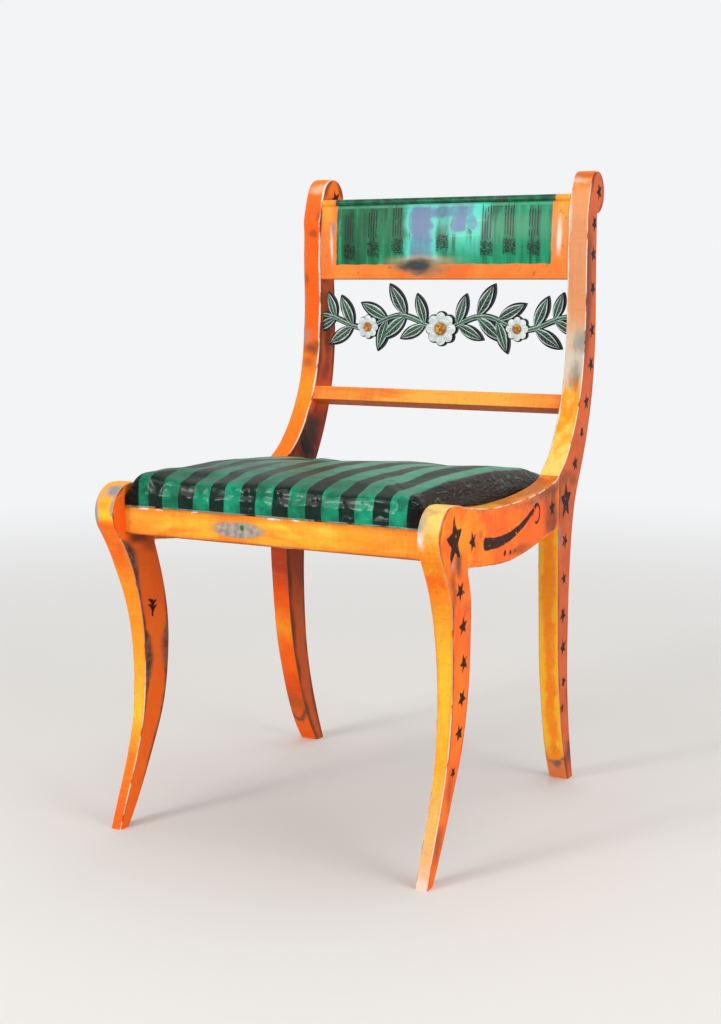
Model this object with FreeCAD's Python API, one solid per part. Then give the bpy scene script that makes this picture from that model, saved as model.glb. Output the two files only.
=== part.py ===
import FreeCAD, Part
import math
import os

# A side chair with sabre legs, scrolled posts and an upholstered seat.
# Millimetres. X to the viewer's right, Y towards the back, Z up from the floor.
# The origin is on the floor, under the middle of the frame.
# Depths in the outlines are measured back from the front of the leg heads.

# Frame as a whole
overall_height = 836.0        # floor to the top of the scrolls
frame_depth = 556.0           # front of the leg heads to the back of the scrolls
front_width = 471.0           # over the side frames, at the leg heads
back_width = 436.0            # over the side frames, at the scrolls
side_thickness = 28.0         # of every piece in a side frame
seat_line = 411.0             # top of the front and rear rails, where the seat rests
edge_round = 2.0              # worn rounding along the edges of the wood
small_round = 1.2             # the same on the slighter pieces
overrun = 5.0                 # how far a cutting solid reaches past what it cuts

# Front legs
head_radius = 35.5            # rolled head
head_level = 403.5            # floor to the middle of the head
front_joint = 83.0            # front of the head to the joint with the side rail
leg_reach = 110.0             # front of the head to the back of the bow
leg_taper = 13.0              # how much narrower the foot is than the head
foot_depth = 18.0             # front foot, along the floor

# Posts: the rear leg and the back upright in one piece
post_reach = 164.0            # joint with the side rail to the back of the scroll
scroll_radius = 28.8
rear_tuck = 5.0               # how far the rear foot leans in under the seat

# Side rails
rail_rise = 20.5              # top of the rail over the seat line, at the leg
rail_drop = 62.0              # lowest point of the rail under the seat line

# Front and rear rails
front_rail_setback = 24.3     # front of the leg heads to the face of the rail
front_rail_depth = 22.0
front_rail_height = 34.5
rear_rail_gap = 28.0          # side rail joint to the face of the rear rail
rear_rail_depth = 22.0
rear_rail_height = 34.5

# Crest rail
crest_drop = 31.5             # top of the scrolls to the top of the crest
crest_height = 114.5
crest_thickness = 22.0
crest_setback = 2.0           # behind the front edge of the posts
bead_height = 9.0             # rolled edge along the top
bead_groove = 1.6

# Mid rail
mid_rail_drop = 163.0         # bottom of the crest to the middle of its face
mid_rail_face = 20.5
mid_rail_depth = 25.0
mid_rail_setback = 1.5

# Pierced ornament between the crest and the mid rail: a flowering vine
ornament_thickness = 5.0
ornament_setback = 8.0        # behind the crest's face
ornament_drop = 60.0          # bottom of the crest to the middle of the vine
vine_wave = 9.0               # how far the stem winds up and down from there
stem_width = 9.0
leaf_length = 54.0
leaf_width = 21.0
leaf_angle = 50.0             # degrees between a leaf and the stem
middle_flower_radius = 25.0
side_flower_radius = 18.0
flower_petals = 8

# Seat
cover_thickness = 1.2
seat_clearance = 0.5          # each side of the seat, against the side frames
fit_gap = 0.3                 # between the layers of the seat
seat_wall = 15.0              # straight part of the seat's side
seat_front_round = 14.0       # rounding of the front edge and corners
seat_rear_round = 7.0
seat_crown = 53.0             # over the seat line, at the highest point
seat_shoulder = 40.0          # how far the rounded side reaches in
shoulder_drop = 7.0           # from the crown to the top of the shoulder
side_draw = 2.5               # how far the side draws in at its top
seat_overlap = 20.0           # how far the seat lies on the rear rail
board_thickness = 12.0
board_inset = 9.0             # edge of the seat to the edge of its board
board_corner = 9.0
board_hole_radius = 8.0       # air holes
board_hole_spacing = 120.0
hem_width = 32.0              # of the cover, turned under the board
dust_thickness = 0.6
tack_head_radius = 3.0
tack_head_thickness = 0.8
tack_radius = 0.8
tack_length = 8.0
tack_inset = 27.0             # edge of the board to the tacks
tack_rows = 5                 # tacks along each edge

# Joinery
dowel_radius = 4.0
dowel_fit = 0.1               # around each dowel
dowel_end_gap = 0.8           # at the bottom of each dowel hole
side_dowel_length = 46.0
side_dowel_spacing = 32.0
cross_dowel_length = 38.0
cross_dowel_depth = 18.0      # how far a dowel goes into a leg or post
rail_dowel_spacing = 16.0
crest_dowel_spacing = 64.0
mid_dowel_radius = 3.0
mid_dowel_spacing = 12.0
block_leg = 50.0              # corner block, along each rail
block_height = 26.0
screw_radius = 2.0
screw_fit = 0.1
screw_head_radius = 4.0
screw_head_height = 2.4
block_screw_length = 26.0
block_screw_offset = 27.0     # corner of the block to its screws
rear_screw_offset = 36.0      # the same, for the screw from a rear block into the side rail
block_screw_inset = 8.0       # cheek left under the head of a block screw
seat_screw_length = 36.0
seat_screw_offset = 15.0      # corner of the block to the seat screw
seat_screw_head_depth = 3.0
pin_radius = 1.0
pin_length = 16.0
pin_fit = 0.05

# Outlines, chosen by hand as shares of the sizes above.
# Front leg: depth as a share of leg_reach, height as a share of seat_line
leg_front_shares = ((0.29, 0.173), (0.455, 0.297), (0.535, 0.443), (0.527, 0.584), (0.436, 0.72),
                    (0.273, 0.837))
leg_back_shares = ((0.41, 0.0925), (0.655, 0.214), (0.88, 0.3455), (0.985, 0.49), (1.0, 0.608),
                   (0.918, 0.742))
leg_foot_share = 0.018
head_slope_shares = (0.56, 0.67)  # a point between the head and the rail: depth, then height
head_start_angle = 215.0      # where the head's round meets the leg, in degrees
# Front leg, seen from the front: height as a share of seat_line, taper as a share of leg_taper
taper_shares = ((0.72, 0.25), (0.5, 0.63), (0.28, 0.86), (0.0, 1.0))
taper_top_share = 0.82
tuck_shares = ((0.5, 0.16), (0.25, 0.5), (0.0, 1.0))
tuck_top_share = 0.75
# Side rail: place along the rail, then rise as a share of rail_rise or drop of rail_drop
rail_top_shares = ((0.0, 1.0), (0.17, 0.65), (0.48, 0.415), (0.8, 0.56), (0.92, 0.78), (1.0, 1.16))
rail_bottom_shares = ((0.0, 0.81), (0.17, 0.9), (0.42, 1.0), (0.67, 0.935), (0.85, 0.82), (1.0, 0.71))
# Post: depth behind the rail joint as a share of post_reach
# heights in front as shares of the rise from the joint to the scroll, at the back from the seat line
# and on the rear leg as shares of seat_line
stile_front_shares = ((0.134, 0.0446), (0.28, 0.1163), (0.384, 0.1893), (0.521, 0.3415), (0.573, 0.4948),
                      (0.591, 0.6705), (0.582, 0.8362), (0.586, 0.94))
stile_back_shares = ((0.829, 0.8768), (0.841, 0.7322), (0.854, 0.6235), (0.848, 0.487), (0.8, 0.3424),
                     (0.69, 0.1932), (0.567, 0.0817))
hock_shares = ((0.415, 0.961), (0.335, 0.825), (0.305, 0.686), (0.305, 0.56),
               (0.323, 0.414), (0.39, 0.248), (0.463, 0.139))
rear_foot_shares = (0.463, 0.579)
rear_front_shares = ((0.311, 0.109), (0.22, 0.207), (0.152, 0.304), (0.098, 0.397), (0.043, 0.574),
                     (0.012, 0.73))
scroll_start_angle = 160.0    # where the scroll's round meets the front of the upright, in degrees
curve_search_steps = 40       # halvings when a height is looked up on that front edge
# Crest rail: heights up its face at which it follows the uprights
crest_level_shares = (0.0, 0.3, 0.6, 1.0)
# Seat: place from front to back, then height of the crown line as a share of seat_crown
seat_top_shares = ((0.0, 0.85), (0.12, 0.96), (0.28, 1.0), (0.46, 0.99), (0.66, 0.9), (0.84, 0.75),
                   (1.0, 0.56))
# Vine: places along each half of the stem, and the height of a leaf's belly along its length
leaf_place_shares = (0.13, 0.29, 0.45, 0.74, 0.89)
side_flower_share = 0.61
leaf_size_shares = (0.86, 1.0, 0.92, 0.92, 0.76)
leaf_belly_share = 0.45
half_waves = 3                # of the stem, from the middle to a post
petal_share = 0.36            # petal radius against the flower's
disc_share = 0.72

# Sizes worked out from those above
scroll_rise = overall_height - seat_line - 2 * scroll_radius
crest_bottom = overall_height - crest_drop - crest_height
mid_rail_level = crest_bottom - mid_rail_drop
ornament_level = crest_bottom - ornament_drop
splay = (front_width - back_width) / 2 / frame_depth
rear_joint = frame_depth - post_reach
rail_length = rear_joint - front_joint
rear_rail_face = rear_joint + rear_rail_gap
front_rail_back = front_rail_setback + front_rail_depth
up = FreeCAD.Vector(0, 0, 1)
back = FreeCAD.Vector(0, 1, 0)
right = FreeCAD.Vector(1, 0, 0)
origin = FreeCAD.Vector(0, 0, 0)


def place(x, depth, z):
    """A point, with its depth measured back from the front of the leg heads."""
    return FreeCAD.Vector(x, depth - frame_depth / 2, z)


def outer_x(depth):
    """Half the width over the side frames."""
    return front_width / 2 - splay * depth


def inner_x(depth):
    """Half the width between the side frames."""
    return outer_x(depth) - side_thickness


def curve_through(points, start=None, end=None):
    """A smooth curve through the points, with the direction set at either end if given."""
    slopes = [start or up] + [up] * (len(points) - 2) + [end or up]
    known = [start is not None] + [False] * (len(points) - 2) + [end is not None]
    curve = Part.BSplineCurve()
    curve.interpolate(Points=points, Tangents=slopes, TangentFlags=known, Scale=True)
    return curve


def line(a, b):
    return Part.LineSegment(a, b).toShape()


def face_of(edges):
    return Part.Face(Part.Wire(Part.__sortEdges__(edges)))


def polygon_face(points):
    return Part.Face(Part.makePolygon(points + points[:1]))


def mirrored(shape):
    return shape.mirror(origin, right)


def both_sides(shapes):
    return Part.makeCompound(shapes + [mirrored(s) for s in shapes])


def rod(start, direction, radius, length):
    return Part.makeCylinder(radius, length, start, direction)


def round_point(centre, radius, degrees):
    """A point on a circle in the side view, with the angle from straight back."""
    angle = math.radians(degrees)
    return centre + FreeCAD.Vector(0, radius * math.cos(angle), radius * math.sin(angle))


def round_slope(degrees):
    """Direction round that circle, from the back over the top to the front."""
    angle = math.radians(degrees)
    return FreeCAD.Vector(0, -math.sin(angle), math.cos(angle))


def rail_top_points():
    return [place(0, front_joint + s * rail_length, seat_line + r * rail_rise)
            for s, r in rail_top_shares]


def rail_bottom_points():
    return [place(0, front_joint + s * rail_length, seat_line - r * rail_drop)
            for s, r in rail_bottom_shares]


def facing(face, point):
    u, v = face.Surface.parameter(point)
    return face.normalAt(u, v)


def long_edges(solid):
    """Edges where a face that looks sideways meets one that doesn't, away from joints and floor."""
    chosen = []
    for edge in solid.Edges:
        middle = edge.valueAt((edge.FirstParameter + edge.LastParameter) / 2)
        faces = [f for f in solid.Faces if any(e.isSame(edge) for e in f.Edges)]
        if len(faces) != 2:
            continue
        normals = [facing(f, middle) for f in faces]
        sideways = [abs(n.x) > abs(n.y) and abs(n.x) > abs(n.z) for n in normals]
        if sideways[0] == sideways[1]:
            continue
        crossing = faces[1] if sideways[0] else faces[0]
        if not isinstance(crossing.Surface, Part.Plane):
            chosen.append(edge)
    return chosen


def side_slab(inset, inset_shares, top_share, inner_too):
    """The space of one side frame as seen from the front, carried back along the splay."""
    start = -overrun
    top = overall_height + overrun

    def at(offset, z):
        return place(outer_x(start) + offset, start, z)

    def tapered_side(offset):
        points = [at(offset, top_share * seat_line)]
        points += [at(offset - s * inset, h * seat_line) for h, s in inset_shares]
        foot = points[-1] - up * overrun
        bend = curve_through(points, start=-up).toShape()
        return [line(at(offset, top), points[0]), bend, line(points[-1], foot)], foot

    outer, outer_foot = tapered_side(0)
    if inner_too:
        inner, inner_foot = tapered_side(-side_thickness)
    else:
        inner_foot = at(-side_thickness, -overrun)
        inner = [line(at(-side_thickness, top), inner_foot)]
    ends = [line(outer_foot, inner_foot), line(at(0, top), at(-side_thickness, top))]
    run = frame_depth + 2 * overrun
    return face_of(outer + inner + ends).extrude(FreeCAD.Vector(-splay * run, run, 0))


def side_piece(edges, slab):
    """A sawn piece: its side view cut through the thickness of the side frame."""
    sawn = face_of(edges).extrude(right * (front_width / 2 + overrun)).common(slab).Solids[0]
    return sawn.makeFillet(edge_round, long_edges(sawn))


def front_leg_outline():
    head = place(0, head_radius, head_level)
    rail_top = rail_top_points()
    rail_bottom = rail_bottom_points()
    toe = place(0, leg_foot_share * leg_reach, 0)
    heel = toe + back * foot_depth
    start = round_point(head, head_radius, head_start_angle)
    crown = round_point(head, head_radius, 90)
    slope_depth, slope_height = head_slope_shares
    slope = crown + back * slope_depth * (front_joint - head_radius)
    slope.z = rail_top[0].z + slope_height * (crown.z - rail_top[0].z)
    front = [toe] + [place(0, d * leg_reach, h * seat_line) for d, h in leg_front_shares] + [start]
    rear = [heel] + [place(0, d * leg_reach, h * seat_line) for d, h in leg_back_shares]
    rear.append(rail_bottom[0])
    top = [crown, slope, rail_top[0]]
    return [
        line(heel, toe),
        curve_through(front, end=-round_slope(head_start_angle)).toShape(),
        Part.Arc(start, round_point(head, head_radius, (head_start_angle + 90) / 2), crown).toShape(),
        curve_through(top, start=back, end=rail_top[1] - rail_top[0]).toShape(),
        line(rail_top[0], rail_bottom[0]),
        curve_through(rear).toShape(),
    ]


def side_rail_outline():
    top = rail_top_points()
    bottom = rail_bottom_points()
    stile = stile_front_points()
    return [
        curve_through(top, start=top[1] - top[0], end=stile[1] - stile[0]).toShape(),
        line(top[-1], bottom[-1]),
        curve_through(bottom).toShape(),
        line(bottom[0], top[0]),
    ]


def scroll_centre():
    return place(0, frame_depth - scroll_radius, overall_height - scroll_radius)


def stile_front_points():
    joint = rail_top_points()[-1]
    rise = seat_line + scroll_rise - joint.z
    shown = [place(0, rear_joint + d * post_reach, joint.z + h * rise) for d, h in stile_front_shares]
    return [joint] + shown + [round_point(scroll_centre(), scroll_radius, scroll_start_angle)]


def stile_front_curve():
    points = stile_front_points()
    return curve_through(points, start=points[1] - points[0], end=-round_slope(scroll_start_angle))


def post_outline():
    scroll = scroll_centre()
    rolled = round_point(scroll, scroll_radius, scroll_start_angle)
    under = round_point(scroll, scroll_radius, -90)
    joint = rail_bottom_points()[-1]
    toe_share, heel_share = rear_foot_shares
    toe = place(0, rear_joint + toe_share * post_reach, 0)
    heel = place(0, rear_joint + heel_share * post_reach, 0)
    rear = [under]
    rear += [place(0, rear_joint + d * post_reach, seat_line + h * scroll_rise) for d, h in stile_back_shares]
    rear += [place(0, rear_joint + d * post_reach, h * seat_line) for d, h in hock_shares] + [heel]
    front = [toe]
    front += [place(0, rear_joint + d * post_reach, h * seat_line) for d, h in rear_front_shares]
    front.append(joint)
    return [
        stile_front_curve().toShape(),
        Part.Arc(rolled, round_point(scroll, scroll_radius, (scroll_start_angle - 90) / 2), under).toShape(),
        curve_through(rear).toShape(),
        line(heel, toe),
        curve_through(front).toShape(),
        line(joint, rail_top_points()[-1]),
    ]


def stile_front_at(height):
    """Point and direction of the upright's front edge at a height over the floor."""
    curve = stile_front_curve()
    low, high = curve.FirstParameter, curve.LastParameter
    for _ in range(curve_search_steps):
        middle = (low + high) / 2
        if curve.value(middle).z < height:
            low = middle
        else:
            high = middle
    direction = curve.tangent(middle)[0]
    return curve.value(middle), direction if direction.z > 0 else -direction


def space_between_sides():
    ends = [place(inner_x(0), 0, 0), place(inner_x(frame_depth), frame_depth, 0)]
    plan = ends + [FreeCAD.Vector(-p.x, p.y, 0) for p in reversed(ends)]
    return polygon_face(plan).extrude(up * overall_height)


def between_sides(edges):
    """A section in the side view, carried across and cut to meet the side frames."""
    reach = front_width / 2
    bar = face_of(edges).translated(right * -reach).extrude(right * front_width)
    return bar.common(space_between_sides()).Solids[0]


def edges_across(solid, radius, chosen):
    """Round the edges that run across the chair and pass the test."""
    edges = []
    for edge in solid.Edges:
        a, b = edge.Vertexes[0].Point, edge.Vertexes[-1].Point
        if abs((b - a).x) > back_width / 2 and chosen((a + b) / 2):
            edges.append(edge)
    return solid.makeFillet(radius, edges)


def flat_rail(face_depth, thickness, height):
    """A front or rear rail, with its top on the seat line."""
    low, high = seat_line - height, seat_line
    a, b = place(0, face_depth, low), place(0, face_depth + thickness, low)
    c, d = place(0, face_depth + thickness, high), place(0, face_depth, high)
    rail = between_sides([line(a, b), line(b, c), line(c, d), line(d, a)])
    return edges_across(rail, small_round, lambda p: p.z < seat_line - small_round)


def crest_rail():
    face_height = crest_height - bead_height - bead_groove
    heights = [crest_bottom + share * face_height for share in crest_level_shares]
    front = [stile_front_at(h)[0] + back * crest_setback for h in heights]
    bead_foot = front[-1] + (back + up) * bead_groove
    crown = place(0, 0, crest_bottom + crest_height)
    crown.y = bead_foot.y + bead_height / 2
    bulge = bead_foot + up * bead_height / 2 - back * bead_height / 4
    top_back = FreeCAD.Vector(0, front[-1].y + crest_thickness, crown.z)
    rear = [p + back * crest_thickness for p in front[:-1]] + [top_back]
    crest = between_sides([
        curve_through(front).toShape(),
        line(front[-1], bead_foot),
        Part.Arc(bead_foot, bulge, crown).toShape(),
        line(crown, top_back),
        curve_through(rear).toShape(),
        line(rear[0], front[0]),
    ])
    low, far = crest_bottom + bead_groove, crown.y + bead_groove
    return edges_across(crest, small_round, lambda p: p.z < low or p.y > far)


def mid_rail_section():
    """Middle of the face, its direction up the upright, and the direction back into the rail."""
    point, direction = stile_front_at(mid_rail_level)
    inward = FreeCAD.Vector(0, direction.z, -direction.y)
    return point + inward * mid_rail_setback, direction, inward


def mid_rail():
    middle, direction, inward = mid_rail_section()
    a = middle - direction * mid_rail_face / 2
    b = middle + direction * mid_rail_face / 2
    c, d = b + inward * mid_rail_depth, a + inward * mid_rail_depth
    rail = between_sides([line(a, b), line(b, c), line(c, d), line(d, a)])
    return edges_across(rail, small_round, lambda p: True)


# The pierced vine, drawn in its front plane and cut from one thin board
def ornament_face_depth():
    """How far behind the leg heads the ornament's front lies."""
    foot = stile_front_at(crest_bottom)[0]
    return foot.y + frame_depth / 2 + crest_setback + ornament_setback


def vine_point(share):
    """Point of the stem at a share of the way from the middle to the right post."""
    depth = ornament_face_depth()
    z = ornament_level - vine_wave * math.cos(math.pi * half_waves * share)
    return place(share * inner_x(depth), depth, z)


def vine_slope(share):
    """Slope of the stem there, in degrees."""
    rise = vine_wave * math.pi * half_waves * math.sin(math.pi * half_waves * share)
    return math.degrees(math.atan2(rise, inner_x(ornament_face_depth())))


def cut_out(face):
    return face.extrude(back * ornament_thickness)


def stem():
    """The wavy stem, with two points to each half wave and a little over at the posts."""
    steps = 2 * half_waves
    shares = [i / steps for i in range(-steps - 1, steps + 2)]
    upper = [vine_point(s) + up * stem_width / 2 for s in shares]
    lower = [vine_point(s) - up * stem_width / 2 for s in shares]
    ends = [line(upper[i], lower[i]) for i in (0, -1)]
    return cut_out(face_of([curve_through(upper).toShape(), curve_through(lower).toShape()] + ends))


def leaf(root, degrees, length, width):
    """A pointed leaf as two arcs from root to tip."""
    along = FreeCAD.Vector(math.cos(math.radians(degrees)), 0, math.sin(math.radians(degrees)))
    across = FreeCAD.Vector(-along.z, 0, along.x)
    tip = root + along * length
    belly = root + along * length * leaf_belly_share
    sides = [Part.Arc(root, belly + across * s * width / 2, tip).toShape() for s in (1, -1)]
    return cut_out(Part.Face(Part.Wire(sides)))


def leaves():
    """Pairs of leaves along the right half of the stem."""
    made = []
    for share, size in zip(leaf_place_shares, leaf_size_shares):
        for turn in (leaf_angle, -leaf_angle):
            degrees = vine_slope(share) + turn
            made.append(leaf(vine_point(share), degrees, leaf_length * size, leaf_width * size))
    return made


def flower(middle, radius):
    petal = petal_share * radius
    discs = [Part.Circle(middle, back, disc_share * radius)]
    for i in range(flower_petals):
        angle = 2 * math.pi * i / flower_petals
        spoke = FreeCAD.Vector(math.cos(angle), 0, math.sin(angle))
        discs.append(Part.Circle(middle + spoke * (radius - petal), back, petal))
    return [cut_out(Part.Face(Part.Wire(d.toShape()))) for d in discs]


def ornament():
    half = leaves() + flower(vine_point(side_flower_share), side_flower_radius)
    growth = half + [mirrored(one) for one in half] + flower(vine_point(0), middle_flower_radius)
    whole = stem().multiFuse(growth).removeSplitter()
    return whole.common(space_between_sides()).Solids[0]


# The seat: a crowned form lofted from front to back
def seat_depths():
    """Front and rear of the seat."""
    return front_rail_setback, rear_rail_face + seat_overlap


def seat_half_width(depth):
    return inner_x(depth) - seat_clearance


def seat_section(depth, top, skin):
    """A section across the seat: sides drawn in, round shoulders and a crowned top."""
    side = seat_half_width(depth) - skin
    crown = top - skin
    drawn, wall_top = side - side_draw, seat_line + seat_wall
    shoulder_x, shoulder_z = drawn - seat_shoulder, crown - shoulder_drop
    turn = math.sqrt(0.5)
    right_half = [
        place(side, depth, seat_line + skin),
        place(drawn, depth, wall_top),
        place(shoulder_x + seat_shoulder * turn, depth, wall_top + (shoulder_z - wall_top) * turn),
        place(shoulder_x, depth, shoulder_z),
    ]
    left_half = [FreeCAD.Vector(-p.x, p.y, p.z) for p in reversed(right_half)]
    points = right_half + [place(0, depth, crown)] + left_half
    return Part.Wire([curve_through(points).toShape(), line(points[-1], points[0])])


def seat_form(skin):
    """The outside of the seat, or the same drawn in on all sides by a skin."""
    front, rear = seat_depths()
    front, rear = front + skin, rear - skin
    places = [(front + share * (rear - front), height) for share, height in seat_top_shares]
    wires = [seat_section(depth, seat_line + height * seat_crown, skin) for depth, height in places]
    form = Part.makeLoft(wires, True, False)
    for depth, radius in ((front, seat_front_round), (rear, seat_rear_round)):
        form = form.makeFillet(radius - skin, end_edges(form, place(0, depth, 0).y))
    return form


def end_edges(form, y):
    """The edges over the top of the seat's front or rear face."""
    found = []
    for edge in form.Edges:
        ends = [v.Y for v in edge.Vertexes]
        if max(abs(e - y) for e in ends) < edge_round and edge.BoundBox.ZLength > edge_round:
            found.append(edge)
    return found


def seat_plan(inset, low, height, corner):
    """A flat layer of the seat, inset on all sides and with rounded corners."""
    front, rear = seat_depths()
    a, b = front + inset, rear - inset
    ends = [place(seat_half_width(a) - inset, a, low), place(seat_half_width(b) - inset, b, low)]
    plan = ends + [FreeCAD.Vector(-p.x, p.y, p.z) for p in reversed(ends)]
    layer = polygon_face(plan).extrude(up * height)
    uprights = [e for e in layer.Edges if abs(e.Vertexes[0].Z - e.Vertexes[-1].Z) > height / 2]
    return layer.makeFillet(corner, uprights)


def tack_points():
    """Places of the tacks round the underside of the seat."""
    front, rear = seat_depths()
    a, b = front + tack_inset, rear - tack_inset
    near, far = front_rail_back + block_leg + tack_inset, rear_rail_face - block_leg - tack_inset
    points = []
    for i in range(tack_rows):
        share = i / (tack_rows - 1)
        side = near + share * (far - near)
        points += [place(s * (seat_half_width(side) - tack_inset), side, seat_line) for s in (1, -1)]
        for depth in (a, b):
            width = inner_x(depth) - block_leg - tack_inset
            points.append(place(width * (2 * share - 1), depth, seat_line))
    return points


def tacks(gap):
    """Tacks, or the holes for them, which are a little larger."""
    shanks = [rod(p, up, tack_radius + gap, tack_length + gap) for p in tack_points()]
    if gap:
        return shanks
    heads = [rod(p - up * tack_head_thickness, up, tack_head_radius, tack_head_thickness)
             for p in tack_points()]
    return [s.fuse(h) for s, h in zip(shanks, heads)]


def block_corner(at_rear):
    """Inside corner of the seat frame at the right, and the way into the frame from it."""
    if at_rear:
        return rear_rail_face, -1
    return front_rail_back, 1


def corner_plan(at_rear, along_x, along_y, z):
    depth, way = block_corner(at_rear)
    return place(inner_x(depth) - along_x, depth + way * along_y, z)


def seat_screw_start(at_rear):
    low = seat_line - block_height + seat_screw_head_depth
    return corner_plan(at_rear, seat_screw_offset, seat_screw_offset, low)


def screw(start, direction, length):
    """A screw from the outside of its head, tapered at its tip."""
    head = rod(start, direction, screw_head_radius, screw_head_height)
    straight = length - screw_head_height - 2 * screw_radius
    shank = rod(start + direction * screw_head_height, direction, screw_radius, straight)
    tip_start = start + direction * (length - 2 * screw_radius)
    tip = Part.makeCone(screw_radius, screw_radius / 4, 2 * screw_radius, tip_start, direction)
    return head.fuse([shank, tip]).removeSplitter()


def screw_hole(start, direction, length):
    """The hole for a screw, open at its head."""
    mouth = start - direction * block_leg
    head = rod(mouth, direction, screw_head_radius + screw_fit, block_leg + screw_head_height)
    return head.fuse(rod(start, direction, screw_radius + screw_fit, length + screw_fit))


def block_screw_lines(at_rear):
    """Start and direction of the two screws that hold a corner block."""
    _, way = block_corner(at_rear)
    level = seat_line - block_height / 2
    side_offset = rear_screw_offset if at_rear else block_screw_offset
    reach = block_screw_inset + screw_head_height
    into_rail = (corner_plan(at_rear, block_screw_offset, reach, level), back * -way)
    into_side = (corner_plan(at_rear, 0, side_offset, level), right)
    into_side[0].x = inner_x(into_side[0].y + frame_depth / 2) - reach
    return [into_rail, into_side]


def right_block_screw_lines():
    return block_screw_lines(False) + block_screw_lines(True)


def right_block_screws():
    return [screw(s, d, block_screw_length) for s, d in right_block_screw_lines()]


def right_block_screw_holes():
    return [screw_hole(s, d, block_screw_length) for s, d in right_block_screw_lines()]


def right_seat_screws():
    return [screw(seat_screw_start(rear), up, seat_screw_length) for rear in (False, True)]


def right_seat_screw_holes():
    return [screw_hole(seat_screw_start(rear), up, seat_screw_length) for rear in (False, True)]


def corner_block(at_rear):
    depth, way = block_corner(at_rear)
    low = seat_line - block_height
    side_depth = depth + way * block_leg
    points = [place(inner_x(depth), depth, low), place(inner_x(depth) - block_leg, depth, low)]
    points.append(place(inner_x(side_depth), side_depth, low))
    block = polygon_face(points).extrude(up * block_height)
    return block.cut(right_block_screw_holes() + right_seat_screw_holes()).Solids[0]


# Dowels, as their start, direction, radius and length
def paired(middle, spread, radius, length, direction):
    """Two dowels side by side, centred on the joint."""
    start = middle - direction * length / 2
    return [(start + spread * s / 2, direction, radius, length) for s in (-1, 1)]


def side_dowel_lines(at_rear):
    top, bottom = rail_top_points(), rail_bottom_points()
    end = -1 if at_rear else 0
    depth = rear_joint if at_rear else front_joint
    level = (top[end].z + bottom[end].z) / 2
    middle = place(outer_x(depth) - side_thickness / 2, depth, level)
    return paired(middle, up * side_dowel_spacing, dowel_radius, side_dowel_length, back)


def cross_dowel_lines(depth, level, spread, radius):
    """Dowels from the end of a rail into the right side frame."""
    middle = place(inner_x(depth) + cross_dowel_depth - cross_dowel_length / 2, depth, level)
    return paired(middle, spread, radius, cross_dowel_length, right)


def dowel_groups():
    front_level = seat_line - front_rail_height / 2
    rear_level = seat_line - rear_rail_height / 2
    crest_level = crest_bottom + (crest_height - bead_height) / 2
    crest_depth = stile_front_at(crest_level)[0].y + frame_depth / 2 + crest_setback + crest_thickness / 2
    face, _, inward = mid_rail_section()
    middle = face + inward * mid_rail_depth / 2
    rail_spread = up * rail_dowel_spacing
    return {
        "side_rail_front_dowels": side_dowel_lines(False),
        "side_rail_rear_dowels": side_dowel_lines(True),
        "front_rail_dowels": cross_dowel_lines(
            front_rail_setback + front_rail_depth / 2, front_level, rail_spread, dowel_radius),
        "rear_rail_dowels": cross_dowel_lines(
            rear_rail_face + rear_rail_depth / 2, rear_level, rail_spread, dowel_radius),
        "crest_dowels": cross_dowel_lines(crest_depth, crest_level, up * crest_dowel_spacing, dowel_radius),
        "mid_rail_dowels": cross_dowel_lines(
            middle.y + frame_depth / 2, middle.z, inward * mid_dowel_spacing, mid_dowel_radius),
    }


def dowel_holes():
    holes = []
    for lines in dowel_groups().values():
        for start, direction, radius, length in lines:
            first = start - direction * dowel_end_gap
            holes.append(rod(first, direction, radius + dowel_fit, length + 2 * dowel_end_gap))
    return holes


def pin_lines():
    """Small pins from the end of the stem into the right post."""
    depth = ornament_face_depth() + ornament_thickness / 2
    middle = place(inner_x(depth), depth, vine_point(1).z)
    return paired(middle, up * stem_width / 2, pin_radius, pin_length, right)


def pin_holes():
    return [rod(s - d * pin_fit, d, r + pin_fit, n + 2 * pin_fit) for s, d, r, n in pin_lines()]


def bored(piece, holes):
    """Cut only the holes that reach the piece."""
    near = [h for h in holes if h.BoundBox.intersect(piece.BoundBox)]
    return piece.cut(near).Solids[0] if near else piece


def seat_layers():
    """Board, foam, cover and dust cover, from the inside out."""
    screw_holes = right_seat_screw_holes()
    screw_holes += [mirrored(h) for h in screw_holes]
    low = seat_line + cover_thickness
    board = seat_plan(board_inset, low, board_thickness, board_corner)
    spots = [(x * board_hole_spacing / 2, y * board_hole_spacing / 2) for x in (-1, 1) for y in (-1, 1)]
    air = [rod(FreeCAD.Vector(x, y, low), up, board_hole_radius, board_thickness) for x, y in spots]
    foam = seat_form(cover_thickness + fit_gap)
    opening = seat_plan(hem_width, seat_line - overrun, 2 * overrun, board_corner)
    cover = seat_form(0).cut(seat_form(cover_thickness)).cut(opening)
    return {
        "seat_board": board.cut(screw_holes + tacks(screw_fit) + air).Solids[0],
        "seat_foam": foam.cut(board).Solids[0],
        "seat_cover": cover.cut(screw_holes + tacks(screw_fit)).Solids[0],
        "dust_cover": seat_plan(hem_width + fit_gap, low - dust_thickness, dust_thickness, board_corner),
    }


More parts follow.
